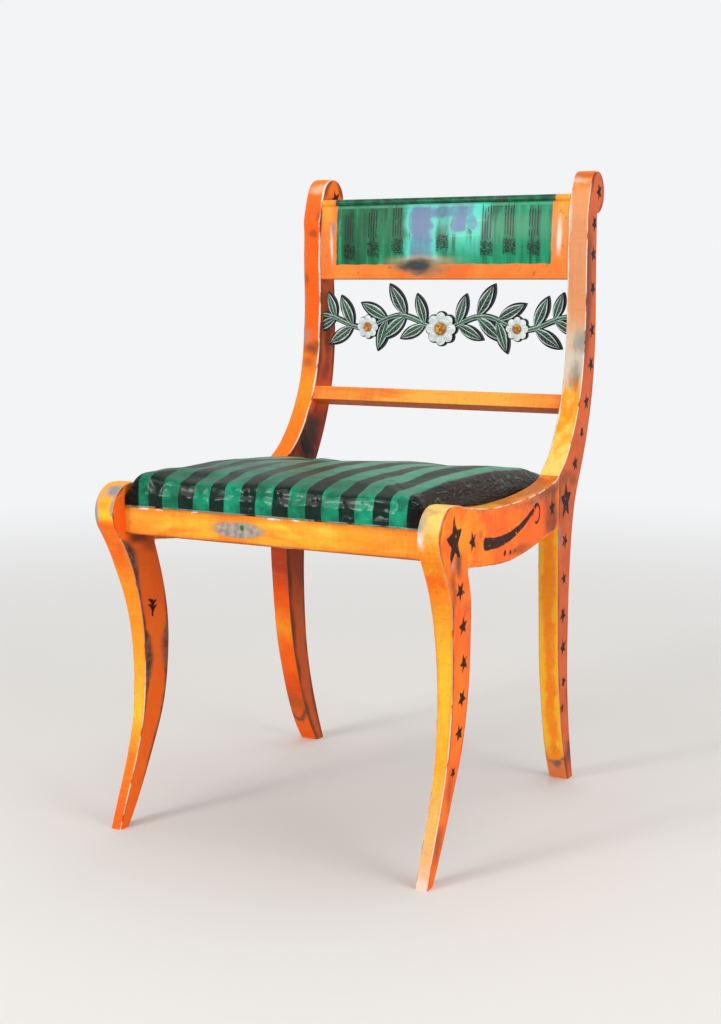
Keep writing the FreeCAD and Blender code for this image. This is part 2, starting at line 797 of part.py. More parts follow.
def build():
    leg_slab = side_slab(leg_taper, taper_shares, taper_top_share, False)
    post_slab = side_slab(rear_tuck, tuck_shares, tuck_top_share, True)
    holes = dowel_holes() + pin_holes() + right_block_screw_holes()
    all_holes = holes + [mirrored(h) for h in holes]
    nodes = {}
    sides = {
        "front_leg": side_piece(front_leg_outline(), leg_slab),
        "side_rail": side_piece(side_rail_outline(), post_slab),
        "post": side_piece(post_outline(), post_slab),
    }
    for name, blank in sides.items():
        piece = bored(blank, holes)
        nodes["right_" + name] = piece
        nodes["left_" + name] = mirrored(piece)
    rails = {
        "front_rail": flat_rail(front_rail_setback, front_rail_depth, front_rail_height),
        "rear_rail": flat_rail(rear_rail_face, rear_rail_depth, rear_rail_height),
        "crest_rail": crest_rail(),
        "mid_rail": mid_rail(),
        "ornament": ornament(),
    }
    for name, blank in rails.items():
        nodes[name] = bored(blank, all_holes)
    for name, at_rear in (("front", False), ("rear", True)):
        block = corner_block(at_rear)
        nodes["right_" + name + "_corner_block"] = block
        nodes["left_" + name + "_corner_block"] = mirrored(block)
    nodes.update(seat_layers())
    for name, lines in dowel_groups().items():
        nodes[name] = both_sides([rod(s, d, r, n) for s, d, r, n in lines])
    nodes["ornament_pins"] = both_sides([rod(s, d, r, n) for s, d, r, n in pin_lines()])
    nodes["block_screws"] = both_sides(right_block_screws())
    nodes["seat_screws"] = both_sides(right_seat_screws())
    nodes["cover_tacks"] = Part.makeCompound(tacks(0))
    return nodes


os.makedirs("parts", exist_ok=True)
for node, shape in build().items():
    print(node, shape.isValid(), len(shape.Solids), round(shape.Volume))
    shape.exportStep("parts/" + node + ".step")
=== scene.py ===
import math

import bpy
from mathutils import Matrix, Vector, noise


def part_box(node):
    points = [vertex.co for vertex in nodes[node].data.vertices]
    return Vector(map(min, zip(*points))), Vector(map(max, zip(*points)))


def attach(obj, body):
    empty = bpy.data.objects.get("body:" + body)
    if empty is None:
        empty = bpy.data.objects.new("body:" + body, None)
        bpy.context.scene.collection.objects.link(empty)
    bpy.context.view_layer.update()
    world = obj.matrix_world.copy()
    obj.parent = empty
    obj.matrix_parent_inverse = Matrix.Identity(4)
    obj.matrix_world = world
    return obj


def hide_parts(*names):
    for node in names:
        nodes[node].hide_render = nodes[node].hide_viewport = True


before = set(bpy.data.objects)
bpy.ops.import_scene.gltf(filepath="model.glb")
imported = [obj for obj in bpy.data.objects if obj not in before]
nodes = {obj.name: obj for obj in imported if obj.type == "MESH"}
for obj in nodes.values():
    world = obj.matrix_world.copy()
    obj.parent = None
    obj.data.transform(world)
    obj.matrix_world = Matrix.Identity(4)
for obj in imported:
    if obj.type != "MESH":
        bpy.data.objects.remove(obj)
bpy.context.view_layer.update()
scene = bpy.context.scene
scene.view_settings.view_transform = "Standard"
print("frame loaded with", len(nodes), "nodes")

# Shader helpers

markEdge = 0.0008             # how softly a painted mark ends, in metres


def hue(text):
    # a colour as painters write it, rrggbb, made linear
    parts = [int(text[i:i + 2], 16) / 255 for i in (0, 2, 4)]
    return tuple(c / 12.92 if c <= 0.04045 else ((c + 0.055) / 1.055) ** 2.4 for c in parts) + (1.0,)


class Wire:
    # a node's output that can be used in sums
    def __init__(self, paint, socket):
        self.paint = paint
        self.socket = socket

    def __add__(self, other):
        return self.paint.math("ADD", self, other)

    def __radd__(self, other):
        return self.paint.math("ADD", other, self)

    def __sub__(self, other):
        return self.paint.math("SUBTRACT", self, other)

    def __rsub__(self, other):
        return self.paint.math("SUBTRACT", other, self)

    def __mul__(self, other):
        return self.paint.math("MULTIPLY", self, other)

    def __rmul__(self, other):
        return self.paint.math("MULTIPLY", other, self)

    def __truediv__(self, other):
        return self.paint.math("DIVIDE", self, other)

    def __rtruediv__(self, other):
        return self.paint.math("DIVIDE", other, self)

    def __abs__(self):
        return self.paint.math("ABSOLUTE", self)

    def __lt__(self, other):
        return self.paint.math("LESS_THAN", self, other)

    def __gt__(self, other):
        return self.paint.math("GREATER_THAN", self, other)


class Paint:
    # the nodes of one material or of the world, and the colours that it calls by name
    def __init__(self, owner, colours):
        owner.use_nodes = True
        self.owner = owner
        self.colours = colours
        self.tree = owner.node_tree
        self.tree.nodes.clear()

    def node(self, kind, settings=None, sockets=None, out=0):
        made = self.tree.nodes.new(kind)
        for key, value in (settings or {}).items():
            if key == "stops":
                ramp = made.color_ramp
                while len(ramp.elements) < len(value):
                    ramp.elements.new(1.0)
                for element, (place, colour) in zip(ramp.elements, value):
                    element.position = place
                    element.color = colour
            elif key == "hold":
                made.color_ramp.interpolation = value
            else:
                setattr(made, key, value)
        for key, value in (sockets or {}).items():
            if isinstance(value, Wire):
                self.tree.links.new(value.socket, made.inputs[key])
            elif isinstance(value, str):
                made.inputs[key].default_value = hue(self.colours[value])
            else:
                made.inputs[key].default_value = value
        return Wire(self, made.outputs[out]) if made.outputs else None

    def math(self, operation, *values):
        return self.node("ShaderNodeMath", {"operation": operation}, dict(enumerate(values)))

    def parts(self, kind, value):
        made = self.node(kind, sockets={0: value}).socket.node
        return [Wire(self, made.outputs[i]) for i in range(3)]

    def split(self, vector):
        return self.parts("ShaderNodeSeparateXYZ", vector)

    def channels(self, colour):
        return self.parts("ShaderNodeSeparateColor", colour)

    def stretched(self, x, y, z):
        return self.node("ShaderNodeMapping", sockets={"Vector": self.spot, "Scale": (x, y, z)})

    def noise(self, scale, detail=3.0, vector=None, rough=0.55, distortion=0.0):
        return self.node("ShaderNodeTexNoise", sockets={
            "Vector": vector or self.spot, "Scale": scale, "Detail": detail,
            "Roughness": rough, "Distortion": distortion})

    def fade(self, value, low, high):
        return self.node("ShaderNodeMapRange", {"interpolation_type": "SMOOTHSTEP"}, {
            "Value": value, "From Min": low, "From Max": high})

    def window(self, value, low, high, soft):
        return self.fade(value, low - soft, low + soft) * self.fade(value, high + soft, high - soft)

    def most(self, *masks):
        found = masks[0]
        for mask in masks[1:]:
            found = self.math("MAXIMUM", found, mask)
        return found

    def mix(self, amount, first, second):
        return self.node("ShaderNodeMix", {"data_type": "RGBA"}, {0: amount, 6: first, 7: second}, out=2)

    def length(self, a, b):
        return self.math("SQRT", a * a + b * b)

    def haze(self, a, b, middle, reach, grain, rough=0.35, core=0.1):
        # an uneven soft patch round a point, full inside its core
        apart = self.length((a - middle[0]) / reach[0], (b - middle[1]) / reach[1])
        return self.fade(apart + (grain - 0.5) * rough, 1.0, core)

    def flakes(self, mask, grain, share):
        # wears soft ragged holes into a mask, as rubbed paint
        return self.fade(mask + (grain - 0.5) * 1.3, 1.0 - share, 1.5 - share) * self.fade(mask, 0.0, 0.25)

    def ramp(self, value, stops, hold="LINEAR"):
        return self.node("ShaderNodeValToRGB", {"stops": stops, "hold": hold}, {"Fac": value})

    def run(self, value, stops):
        # named colours one after another along a value
        return self.ramp(value, [(place, hue(self.colours[name])) for place, name in stops])

    def star(self, a, b, middleA, middleB, size, tall=1.0, turn=0.0, notch=0.46):
        # the plane is folded into one of the five points, then measured to that point's edge
        across, along = a - middleA, (b - middleB) / tall
        angle = self.math("ARCTAN2", across, along) + turn
        folded = abs(self.math("WRAP", angle, math.pi / 5, -math.pi / 5))
        reach = self.length(across, along)
        edgeX, edgeY = notch * math.sin(math.pi / 5), 1 - notch * math.cos(math.pi / 5)
        edge = math.hypot(edgeX, edgeY)
        apart = (reach * self.math("COSINE", folded) - size) * (edgeX / edge)
        apart = apart + reach * self.math("SINE", folded) * (edgeY / edge)
        return self.fade(apart, markEdge, -markEdge)

    def stroke(self, a, b, start, end, bend, thick):
        # a bent brush stroke between two points, with its half thickness at both ends
        run, rise = end[0] - start[0], end[1] - start[1]
        span = math.hypot(run, rise)
        da, db = a - start[0], b - start[1]
        along = (da * run + db * rise) / span ** 2
        off = (db * run - da * rise) / span - bend * 4 * along * (1 - along)
        half = thick[0] + (thick[1] - thick[0]) * along
        ends = self.fade(along, -0.02, 0.01) * self.fade(along, 1.02, 0.99)
        return self.fade(abs(off) - half, markEdge, -markEdge) * ends

    def finish(self, colour, roughness, height, depth, metallic=0.0, coat=0.0, coatRough=0.1, sheen=0.0,
               gloss=0.5):
        bump = self.node("ShaderNodeBump", sockets={"Strength": 1.0, "Distance": depth, "Height": height})
        shader = self.node("ShaderNodeBsdfPrincipled", sockets={
            "Base Color": colour, "Roughness": roughness, "Metallic": metallic, "Specular IOR Level": gloss,
            "Coat Weight": coat, "Coat Roughness": coatRough, "Sheen Weight": sheen, "Normal": bump})
        self.node("ShaderNodeOutputMaterial", sockets={"Surface": shader})
        return self.owner


def newPaint(name, colours):
    p = Paint(bpy.data.materials.new(name), colours)
    p.spot = p.node("ShaderNodeTexCoord", out="Object")
    p.x, p.y, p.z = p.split(p.spot)
    p.nx, p.ny, p.nz = p.split(p.node("ShaderNodeNewGeometry", out="Normal"))
    return p


def dress(piece, material):
    piece.data.materials.clear()
    piece.data.materials.append(material)


# Painted frame

chair = {                     # from the frame's own sizes, in metres
    "halfFront": 0.2355, "splay": 0.031475, "front": -0.278, "side": 0.028, "sections": 28, "inset": 0.001,
    "photoScale": 0.00096, "photoShift": 0.2758,
}
woodColours = {
    "straw": "f9d06a", "yellow": "fdc232", "gold": "fcac2e", "honey": "fdb262", "amber": "fb9224",
    "orange": "f9791f", "flame": "f5641c", "red": "e2511a", "brick": "b23f26", "rust": "b9562a",
    "umber": "7d3420", "peach": "f0ac7c", "salmon": "f79a5c", "clay": "e6986a", "sand": "e0b48c",
    "coral": "e87f4e", "dullRed": "b9522c", "dullOrange": "cf6230", "pale": "f0dcc6", "white": "efe9e2",
    "chalk": "d6cfc2", "ash": "8f928e", "steelBlue": "7d8a9c", "brown": "7a3a22", "smoke": "3a2f2b",
    "soot": "1d1a19", "ink": "060404", "dirt": "5d564f", "burntBrown": "5b483c", "burntBlue": "4f5a60",
    "brownRub": "6e4a3c", "pinkRub": "dc9a78", "tanRub": "d39a72", "footPale": "f6dccb",
    "coreLight": "fca02a", "coreDeep": "fb8a26", "railDirt": "5a463a", "railDust": "8f6c56",
    "ovalRim": "c98a50", "ovalGrey": "7c8284", "ovalSand": "b0a79c", "moss": "3f6a3a", "seam": "8a5a30",
    "railDeep": "f5822c", "railLight": "fbab32", "railYellow": "fdca48", "railEnd": "f4842e",
    "railRim": "ef7424", "slatDeep": "f27a2a", "slatLight": "f7983a", "slatGold": "fbb84a",
    "slatUnder": "c85a28", "slatEnd": "e8622a",
}


def halfAt(y):
    # half the width over the side frames at a depth
    return chair["halfFront"] - (y - chair["front"]) * chair["splay"]


def at(y, z):
    # a place measured on the photograph, in millimetres, put into the frame's own scale
    return chair["photoScale"] * y - chair["photoShift"], chair["photoScale"] * z


def sectionsOf(name, run, measure):
    # the least and the greatest value of a measure over a node's mesh, at even steps along an axis
    mesh = nodes[name].data
    pairs = [[mesh.vertices[i].co for i in edge.vertices] for edge in mesh.edges]
    start = min(v.co[run] for v in mesh.vertices) + chair["inset"]
    end = max(v.co[run] for v in mesh.vertices) - chair["inset"]
    rows = []
    for step in range(chair["sections"]):
        level = start + (end - start) * step / (chair["sections"] - 1)
        found = [measure(a.lerp(b, (level - a[run]) / (b[run] - a[run])))
                 for a, b in pairs if (a[run] - level) * (b[run] - level) < 0]
        rows.append((level, min(found), max(found)))
    return rows


def followed(p, rows, place, shift):
    # such rows as two smooth curves in the shader
    stops = [(level + shift, (least + 0.5, greatest + 0.5, 0, 1)) for level, least, greatest in rows]
    least, greatest, _ = p.channels(p.ramp(place + shift, stops))
    return least - 0.5, greatest - 0.5


def outlineOf(p, name, along):
    # how far a point is from a piece's two edges in side view: front and back, or bottom and top
    if along == "z":
        low, high = followed(p, sectionsOf(name, 2, lambda co: co.y), p.z, 0.0)
        return p.y - low, high - p.y
    low, high = followed(p, sectionsOf(name, 1, lambda co: co.z), p.y, 0.5)
    return p.z - low, high - p.z


def acrossSide(p, name):
    # 0 at a leg's or post's outer face, 1 at its inner face
    inset, _ = followed(p, sectionsOf(name, 2, lambda co: halfAt(co.y) - abs(co.x)), p.z, 0.0)
    return (halfAt(p.y) - inset - abs(p.x)) / (chair["side"] - inset)


def outerSide(p):
    return p.fade(p.nx * p.math("SIGN", p.x), 0.6, 0.8)


def innerSide(p):
    return p.fade(p.nx * p.math("SIGN", p.x), -0.6, -0.8)


def frontSide(p):
    return p.fade(p.ny, -0.2, -0.5)


def cloudy(p, yellowFrom, orangeFrom):
    # soft clouds of yellow, amber and orange
    warm = p.fade(p.clouds + p.brush, yellowFrom - 0.16, yellowFrom + 0.16)
    deep = p.fade(p.slow + p.brush, orangeFrom - 0.14, orangeFrom + 0.14)
    return p.mix(deep, p.mix(warm, "yellow", "amber"), "orange")


def plainFlank(p):
    flank = p.mix(p.fade(p.slow + p.brush, 0.34, 0.66), "flame", "red")
    return p.mix(p.fade(p.clouds + (p.fine - 0.5) * 0.3, 0.5, 0.76) * 0.45, flank, "orange")


plainWood = {                 # what a painted piece has unless its own settings say otherwise
    "cloudScale": 17.0, "upright": True, "brushed": 0.12, "flank": plainFlank, "wear": None, "motifs": None,
    "edges": "long", "edgeBreak": 0.42, "edgeShine": 0.8, "edgeShineTone": None,
}


def paintedWood(name, settings):
    # old paint, redder on the side faces, with a painted highlight and a painted shade line along its edges,
    # and dark marks
    look = dict(plainWood, **settings)
    p = newPaint(name, woodColours)
    p.clouds = p.noise(look["cloudScale"], 5.0, distortion=0.6)
    p.slow = p.noise(8.0, 3.0, distortion=0.4)
    p.fine = p.noise(95.0, 4.0)
    along = (150, 150, 14) if look["upright"] else (14, 150, 150)
    strokes = p.noise(1.0, 4.0, p.stretched(*along))
    p.brush = (strokes - 0.5) * 0.3
    speck = p.noise(420.0, 2.0)
    sideways = p.fade(abs(p.nx), 0.45, 0.75)
    colour = p.mix(sideways, look["face"](p), look["flank"](p))
    # fine brush lines across the front faces
    brushed = p.noise(1.0, 3.0, p.stretched(*((30, 30, 430) if look["upright"] else (330, 30, 30))))
    lined = (1 - sideways) * look["brushed"]
    colour = p.mix(p.fade(brushed, 0.50, 0.74) * lined, colour, "brown")
    colour = p.mix(p.fade(brushed, 0.50, 0.26) * lined, colour, "straw")
    colour = p.mix(p.fade(strokes, 0.55, 0.75) * 0.15, colour, "brown")
    colour = p.mix(p.fade(speck, 0.64, 0.74) * 0.35, colour, "brown")
    if look["wear"]:
        colour = look["wear"](p, colour)
    # rounded edges: a broken pale painted highlight, brown where it breaks, and a thin painted shade line
    # where they meet the flat faces
    if look["edges"]:
        turned = abs(p.nx) if look["edges"] == "long" else p.most(abs(p.ny), abs(p.nz))
        edge = p.fade(turned, 0.3, 0.5) * p.fade(turned, 0.96, 0.88)
        broken = p.fade(p.noise(30.0, 5.0), look["edgeBreak"], look["edgeBreak"] + 0.12)
        dark = p.fade(turned, 0.88, 0.96) * p.fade(turned, 0.9997, 0.99)
        shadeBroken = p.fade(p.noise(26.0, 4.0, rough=0.6), 0.44, 0.60)
        colour = p.mix(dark * 0.6 * shadeBroken, colour, "brown")
        colour = p.mix(edge * (1 - broken) * 0.5, colour, "brown")
        edgeShineColour = look["edgeShineTone"](p) if look["edgeShineTone"] else "pale"
        colour = p.mix(edge * broken * look["edgeShine"], colour, edgeShineColour)
    if look["motifs"]:
        worn = p.fade(p.noise(160.0, 3.0) + (p.fine - 0.5) * 0.5, 0.22, 0.36)
        colour = p.mix(look["motifs"](p) * worn * 0.97, colour, "ink")
    height = p.clouds * 0.5 + p.fine * 0.3 + speck * 0.08 + strokes * 0.3
    return p.finish(colour, 0.36 + p.clouds * 0.2, height, 0.0007, coat=0.07, coatRough=0.18, gloss=0.03)


def starRow(p, stars):
    # small stars one above another, from the lowest up; a colour ramp holds their places, all above 0
    shift = 0.4
    starts = [0.0] + [(low[1] + high[1]) / 2 for low, high in zip(stars, stars[1:])]
    stops = [(start, (y + shift, z, size, turn)) for start, (y, z, size, turn) in zip(starts, stars)]
    held = p.ramp(p.z, stops, "CONSTANT")
    middleY, middleZ, size = p.channels(held)
    turn = Wire(p, held.socket.node.outputs["Alpha"])
    wobble = (p.noise(120.0, 1.0) - 0.5) * 0.004
    return p.star(p.y + wobble, p.z + wobble, middleY - shift, middleZ, size, 1.0, turn)


def edgeSmearAndShade(p, apart, reach, grain, thin):
    # an uneven dark line along an edge, from a distance to it: a smear on inner faces, painted shade on outer
    # faces
    return p.fade(apart + (grain - thin) * reach * 3.2, reach, reach * 0.05)


def edgeBand(p, apart, widths, grain):
    # a dark band along an edge: pairs of a height and the band's width in millimetres there
    widest = 40
    stops = [(z, (width / widest, width / widest, width / widest, 1)) for z, width in widths]
    width = p.channels(p.ramp(p.z, stops))[0] * (widest / 1000)
    return p.fade(apart + (grain - 0.5) * 0.006, width + 0.0012, width * 0.45 - 0.0012)


def smudged(p, colour, across, face, grain, marks):
    # soft marks on a face: place across and up it, reach across and up, colour, strength
    for a, z, reachA, reachZ, name, strength in marks:
        spot = p.haze(across, p.z, (a, z), (reachA, reachZ), grain, 1.5) * face
        colour = p.mix(spot * strength, colour, name)
    return colour


# Front legs

leg = {                       # stars: y, z, size, turn, and for a big one y, z, size, height, turn
    "starsUnder": (0.36, 0.355), "headOver": (0.385, 0.405), "headReflectionSpan": (0.392, 0.428, 0.010),
    "bleachedOver": (0.37, 0.40), "paleSpan": (0.06, 0.37, 0.03), "paleFoot": (0.030, 0.004),
    "railFoot": (0.350, 0.362),
    "stars": (
        at(71, 126) + (0.0080, 0.5), at(85.4, 172) + (0.0118, 0.2), at(89.8, 214.8) + (0.0125, 0.7),
        at(90.9, 258.5) + (0.0125, 0.35), at(79.6, 307) + (0.0128, 0.15), at(62, 352.8) + (0.0128, 0.6)),
    "bigStar": at(42.5, 415) + (0.0235, 1.28, 0.12),
    "sprig": at(77, 285),
    "sprigLeaves": ((1, -0.004), (-1, -0.001), (1, 0.003), (-1, 0.006)),
    "rightFace": (
        (0.0, "peach"), (0.05, "honey"), (0.13, "gold"), (0.23, "yellow"), (0.30, "gold"),
        (0.35, "orange"), (0.385, "amber"), (0.425, "straw")),
    "leftFace": (
        (0.02, "flame"), (0.09, "orange"), (0.135, "yellow"), (0.19, "gold"), (0.25, "amber"),
        (0.31, "amber"), (0.355, "flame"), (0.38, "orange"), (0.40, "yellow"), (0.43, "gold")),
    "rightHead": (
        # the first white mark is a painted glint on the head
        (0.0255, 0.407, 0.010, 0.016, "white", 0.9), (0.024, 0.420, 0.013, 0.020, "ash", 0.6),
        (0.016, 0.352, 0.020, 0.020, "flame", 0.5), (0.020, 0.436, 0.024, 0.006, "ash", 0.5)),
    "leftHead": (
        (0.001, 0.408, 0.010, 0.030, "steelBlue", 0.95), (0.002, 0.386, 0.006, 0.024, "ash", 0.6),
        (0.022, 0.432, 0.018, 0.014, "steelBlue", 0.9), (0.012, 0.388, 0.024, 0.010, "flame", 0.8),
        (0.014, 0.414, 0.020, 0.010, "amber", 0.7), (0.016, 0.345, 0.024, 0.034, "flame", 0.4)),
    "frontBand": (
        (0.05, 2.0), (0.13, 3.0), (0.165, 6.0), (0.185, 14.0), (0.21, 22.0), (0.235, 17.0), (0.25, 7.0),
        (0.285, 6.0), (0.31, 9.0), (0.335, 19.0), (0.352, 26.0), (0.366, 12.0), (0.372, 0.0)),
    "rearBand": (
        (0.03, 2.0), (0.06, 6.0), (0.10, 9.0), (0.13, 7.0), (0.18, 8.0), (0.205, 18.0), (0.228, 22.0),
        (0.25, 8.0), (0.30, 3.0), (0.35, 0.0)),
    "innerMarks": (
        at(56, 384) + (0.036, 0.012, "brown", 0.9), at(74, 372) + (0.024, 0.014, "brown", 0.5)),
    "outerMarks": (
        at(54, 384) + (0.018, 0.020, "smoke", 0.75), at(38, 370) + (0.014, 0.024, "brown", 0.6),
        at(40, 386) + (0.012, 0.010, "ash", 0.5), at(44, 340) + (0.010, 0.050, "brown", 0.5),
        at(30, 50) + (0.020, 0.030, "smoke", 0.5), at(62, 100) + (0.012, 0.040, "brown", 0.5)),
}


def legMotifs(p):
    wobble = (p.noise(90.0, 2.0) - 0.5) * 0.007
    big = p.star(p.y + wobble, p.z + wobble, *leg["bigStar"])
    marks = p.most(starRow(p, leg["stars"]) * p.fade(p.z, *leg["starsUnder"]), big) * outerSide(p)
    # a small leaf sprig on the inner face of the left leg
    y, z = leg["sprig"]
    sprig = p.stroke(p.y, p.z, (y, z - 0.011), (y + 0.001, z + 0.011), 0.001, (0.0018, 0.0013))
    for side, level in leg["sprigLeaves"]:
        tip = (y + side * 0.0085, z + level + 0.006)
        leaf = p.stroke(p.y, p.z, (y, z + level), tip, side * 0.0012, (0.0034, 0.0008))
        sprig = p.most(sprig, leaf)
    return p.most(marks, sprig * innerSide(p) * (p.x < 0))


def legEdgeShine(p):
    # the painted highlight along the leg's edges: pale low down, tan higher up
    uneven = p.z + (p.noise(30.0, 2.0) - 0.5) * 0.06
    return p.mix(p.fade(uneven, 0.17, 0.24), "pale", "tanRub")


def legFace(p):
    # paler down the middle, orange along both edges; the left leg turns yellow at two places only
    z = p.z + (p.clouds - 0.5) * 0.05
    rightOne = p.x > 0
    middle = p.fade(abs(acrossSide(p, "right_front_leg") - 0.5) + (p.clouds - 0.5) * 0.5, 0.46, 0.28)
    margin = p.mix(p.fade(p.clouds, 0.4, 0.6), "orange", "amber")
    colour = p.mix(rightOne, p.run(z, leg["leftFace"]), p.run(z, leg["rightFace"]))
    colour = p.mix((1 - middle) * p.window(p.z, *leg["paleSpan"]) * 0.65, colour, margin)
    mottled = p.noise(1.0, 5.0, p.stretched(85, 85, 42), distortion=0.8)
    colour = p.mix(p.fade(mottled, 0.52, 0.64) * 0.4, colour, "amber")
    colour = p.mix(p.fade(mottled, 0.46, 0.34) * rightOne * 0.35, colour, "yellow")
    return p.mix(p.fade(p.fine, 0.55, 0.75) * 0.4, colour, "amber")


def legFlank(p):
    # brighter in the sun-bleached head, bright red-orange on the inner faces
    side = p.mix(p.fade(p.clouds, 0.35, 0.65), "flame", "orange")
    bleached = p.fade(p.z, *leg["bleachedOver"]) * p.fade(p.clouds + (p.fine - 0.5) * 0.3, 0.40, 0.62)
    return p.mix(innerSide(p) * 0.55, p.mix(bleached, side, "amber"), "flame")


def legWear(p, colour):
    # a bluish painted reflection across the rolled heads, dark smears along the inner face, pale feet
    grain = p.noise(42.0, 5.0)
    rubbed = p.noise(1.0, 6.0, p.stretched(90, 90, 60))
    fromFront, fromBack = outlineOf(p, "right_front_leg", "z")
    front, inner, outer = frontSide(p), innerSide(p), outerSide(p)
    rightOne = p.x > 0
    across = acrossSide(p, "right_front_leg")
    inlay = across * chair["side"]
    head = p.fade(p.z, *leg["headOver"]) * p.fade(abs(p.nx), 0.8, 0.5)
    inward = p.fade(across, 0.62, 0.95)
    # bluish-white painted reflection on the heads, towards their inner edges
    headReflection = p.flakes(inward * head * p.window(p.z, *leg["headReflectionSpan"]), rubbed, 0.42)
    colour = p.mix(headReflection * 0.85, colour, p.mix(p.fade(grain, 0.45, 0.6), "steelBlue", "ash"))
    colour = smudged(p, colour, inlay, front * rightOne, rubbed, leg["rightHead"])
    colour = smudged(p, colour, inlay, front * (1 - rightOne), rubbed, leg["leftHead"])
    outerScuff = p.fade(across, 0.2, 0.02) * head * p.fade(grain, 0.5, 0.64)
    colour = p.mix(outerScuff * 0.6, colour, "pale")
    smear = edgeBand(p, fromFront, leg["frontBand"], grain)
    rear = edgeBand(p, fromBack, leg["rearBand"], p.noise(33.0, 5.0))
    dark = p.mix(p.fade(p.fine, 0.4, 0.6), "smoke", "dirt")
    colour = p.mix(p.most(smear, rear * 0.9) * inner * 0.9, colour, dark)
    colour = smudged(p, colour, p.y, inner, grain, leg["innerMarks"])
    # a thin painted shade line along the outer face's front edge and, below the seat rail, its back edge
    nearest = p.math("MINIMUM", fromFront, fromBack + p.fade(p.z, *leg["railFoot"]))
    thin = edgeSmearAndShade(p, nearest, 0.0042, p.noise(24.0, 5.0), 0.5) * outer
    colour = p.mix(thin * 0.6, colour, "brown")
    colour = smudged(p, colour, p.y, outer, grain, leg["outerMarks"])
    foot = p.fade(p.z + (grain - 0.5) * 0.03, *leg["paleFoot"]) * front * rightOne
    return p.mix(foot * 0.7, colour, "footPale")


# Posts

post = {                      # heights where marks begin and end, some with a softness
    "scrollOver": (0.785, 0.79), "starGap": (0.372, 0.43, 0.001), "paleOver": (0.42, 0.46),
    "uprightOver": (0.36, 0.40), "shineLine": (0.0252, 0.0264), "shineOver": (0.44, 0.50),
    "chalk": (0.562, 0.620, 0.018), "burnt": (0.032, 0.040, 0.004), "burntArch": 45,
    "bright": (0.505, 0.535, 0.012), "smoky": (0.585, 0.775, 0.03), "railJoint": (0.362, 0.432, 0.004),
    "block": (0.030, 0.026),
    "stars": (
        at(444.8, 116) + (0.0075, 0.1), at(446.5, 155) + (0.0092, 0.9), at(438.8, 206.2) + (0.0122, 0.3),
        at(434.5, 253.7) + (0.0122, 0.65), at(434.5, 305.8) + (0.0105, 0.2), at(435, 359) + (0.0122, 0.8),
        at(472.5, 463.2) + (0.0122, 0.25), at(499, 504.5) + (0.0090, 0.6), at(516, 546.8) + (0.0120, 0.1),
        at(533, 599.5) + (0.0124, 0.5), at(534.5, 648) + (0.0122, 0.3), at(534, 707) + (0.0122, 0.7),
        at(533.5, 754.5) + (0.0118, 0.2), at(535, 796.8) + (0.0120, 0.55), at(553, 841.5) + (0.0124, 0.4)),
    "bigStar": at(436, 415) + (0.0225, 1.2, 0.05),
    "leftLeg": (
        (0.03, "flame"), (0.06, "rust"), (0.085, "red"), (0.12, "flame"), (0.15, "flame"),
        (0.185, "amber"), (0.215, "flame"), (0.24, "red"), (0.27, "brick")),
    "leftStile": (
        (0.47, "orange"), (0.53, "amber"), (0.575, "orange"), (0.62, "flame"), (0.79, "flame"),
        (0.82, "orange")),
    "rightStile": (
        (0.46, "straw"), (0.50, "gold"), (0.52, "amber"), (0.54, "gold"), (0.565, "sand"), (0.61, "sand"),
        (0.66, "clay"), (0.77, "clay"), (0.80, "salmon"), (0.83, "orange")),
    "innerBrownAndShade": (
        (0.03, "rust"), (0.18, "rust"), (0.27, "umber"), (0.48, "umber"), (0.53, "brick"), (0.60, "rust"),
        (0.79, "rust"), (0.81, "orange")),
    "rightFront": (
        (0.007, 0.607, 0.014, 0.034, "ash", 0.8), (0.010, 0.569, 0.013, 0.030, "ash", 0.8),
        (0.011, 0.553, 0.010, 0.014, "brown", 0.4), (0.025, 0.776, 0.004, 0.026, "pale", 0.6),
        # the pale mark at 0.822 on this line is a painted glare on the scroll
        (0.014, 0.829, 0.030, 0.009, "brown", 0.45), (0.018, 0.822, 0.026, 0.006, "pale", 0.45)),
    "leftFront": (
        (0.017, 0.590, 0.024, 0.016, "smoke", 0.75), (0.011, 0.570, 0.016, 0.016, "brown", 0.45),
        (0.006, 0.606, 0.012, 0.016, "ash", 0.6), (0.026, 0.780, 0.008, 0.012, "brown", 0.7),
        # the pale mark at 0.822 on this line is a painted highlight on the scroll
        (0.016, 0.756, 0.010, 0.008, "brown", 0.55), (0.018, 0.822, 0.024, 0.010, "pale", 0.45),
        (0.004, 0.692, 0.008, 0.014, "smoke", 0.4), (0.000, 0.650, 0.005, 0.200, "ash", 0.7)),
    "leftInner": (
        (0.170, 0.452, 0.050, 0.056, "soot", 1.0), (0.186, 0.474, 0.040, 0.040, "smoke", 0.9),
        (0.2305, 0.600, 0.016, 0.050, "umber", 0.8), (0.222, 0.556, 0.014, 0.030, "smoke", 0.5),
        (0.240, 0.640, 0.020, 0.040, "smoke", 0.6)),
    "outerMarks": (
        at(405, 430) + (0.012, 0.060, "smoke", 0.65), at(425, 448) + (0.044, 0.012, "smoke", 0.5),
        at(402, 396) + (0.018, 0.024, "smoke", 0.65), at(462, 440) + (0.022, 0.014, "smoke", 0.5),
        at(412, 368) + (0.014, 0.026, "steelBlue", 0.5), (0.190, 0.046, 0.024, 0.030, "smoke", 0.8),
        (0.172, 0.140, 0.012, 0.060, "brown", 0.5), at(420, 404) + (0.036, 0.060, "brown", 0.4)),
}


def postEdgeShine(p):
    # the painted highlight along the edges: white on the uprights, pinkish on the right rear leg, brown on
    # the left one
    return p.mix(p.fade(p.z, *post["paleOver"]), p.mix(p.x > 0, "brownRub", "pinkRub"), "pale")


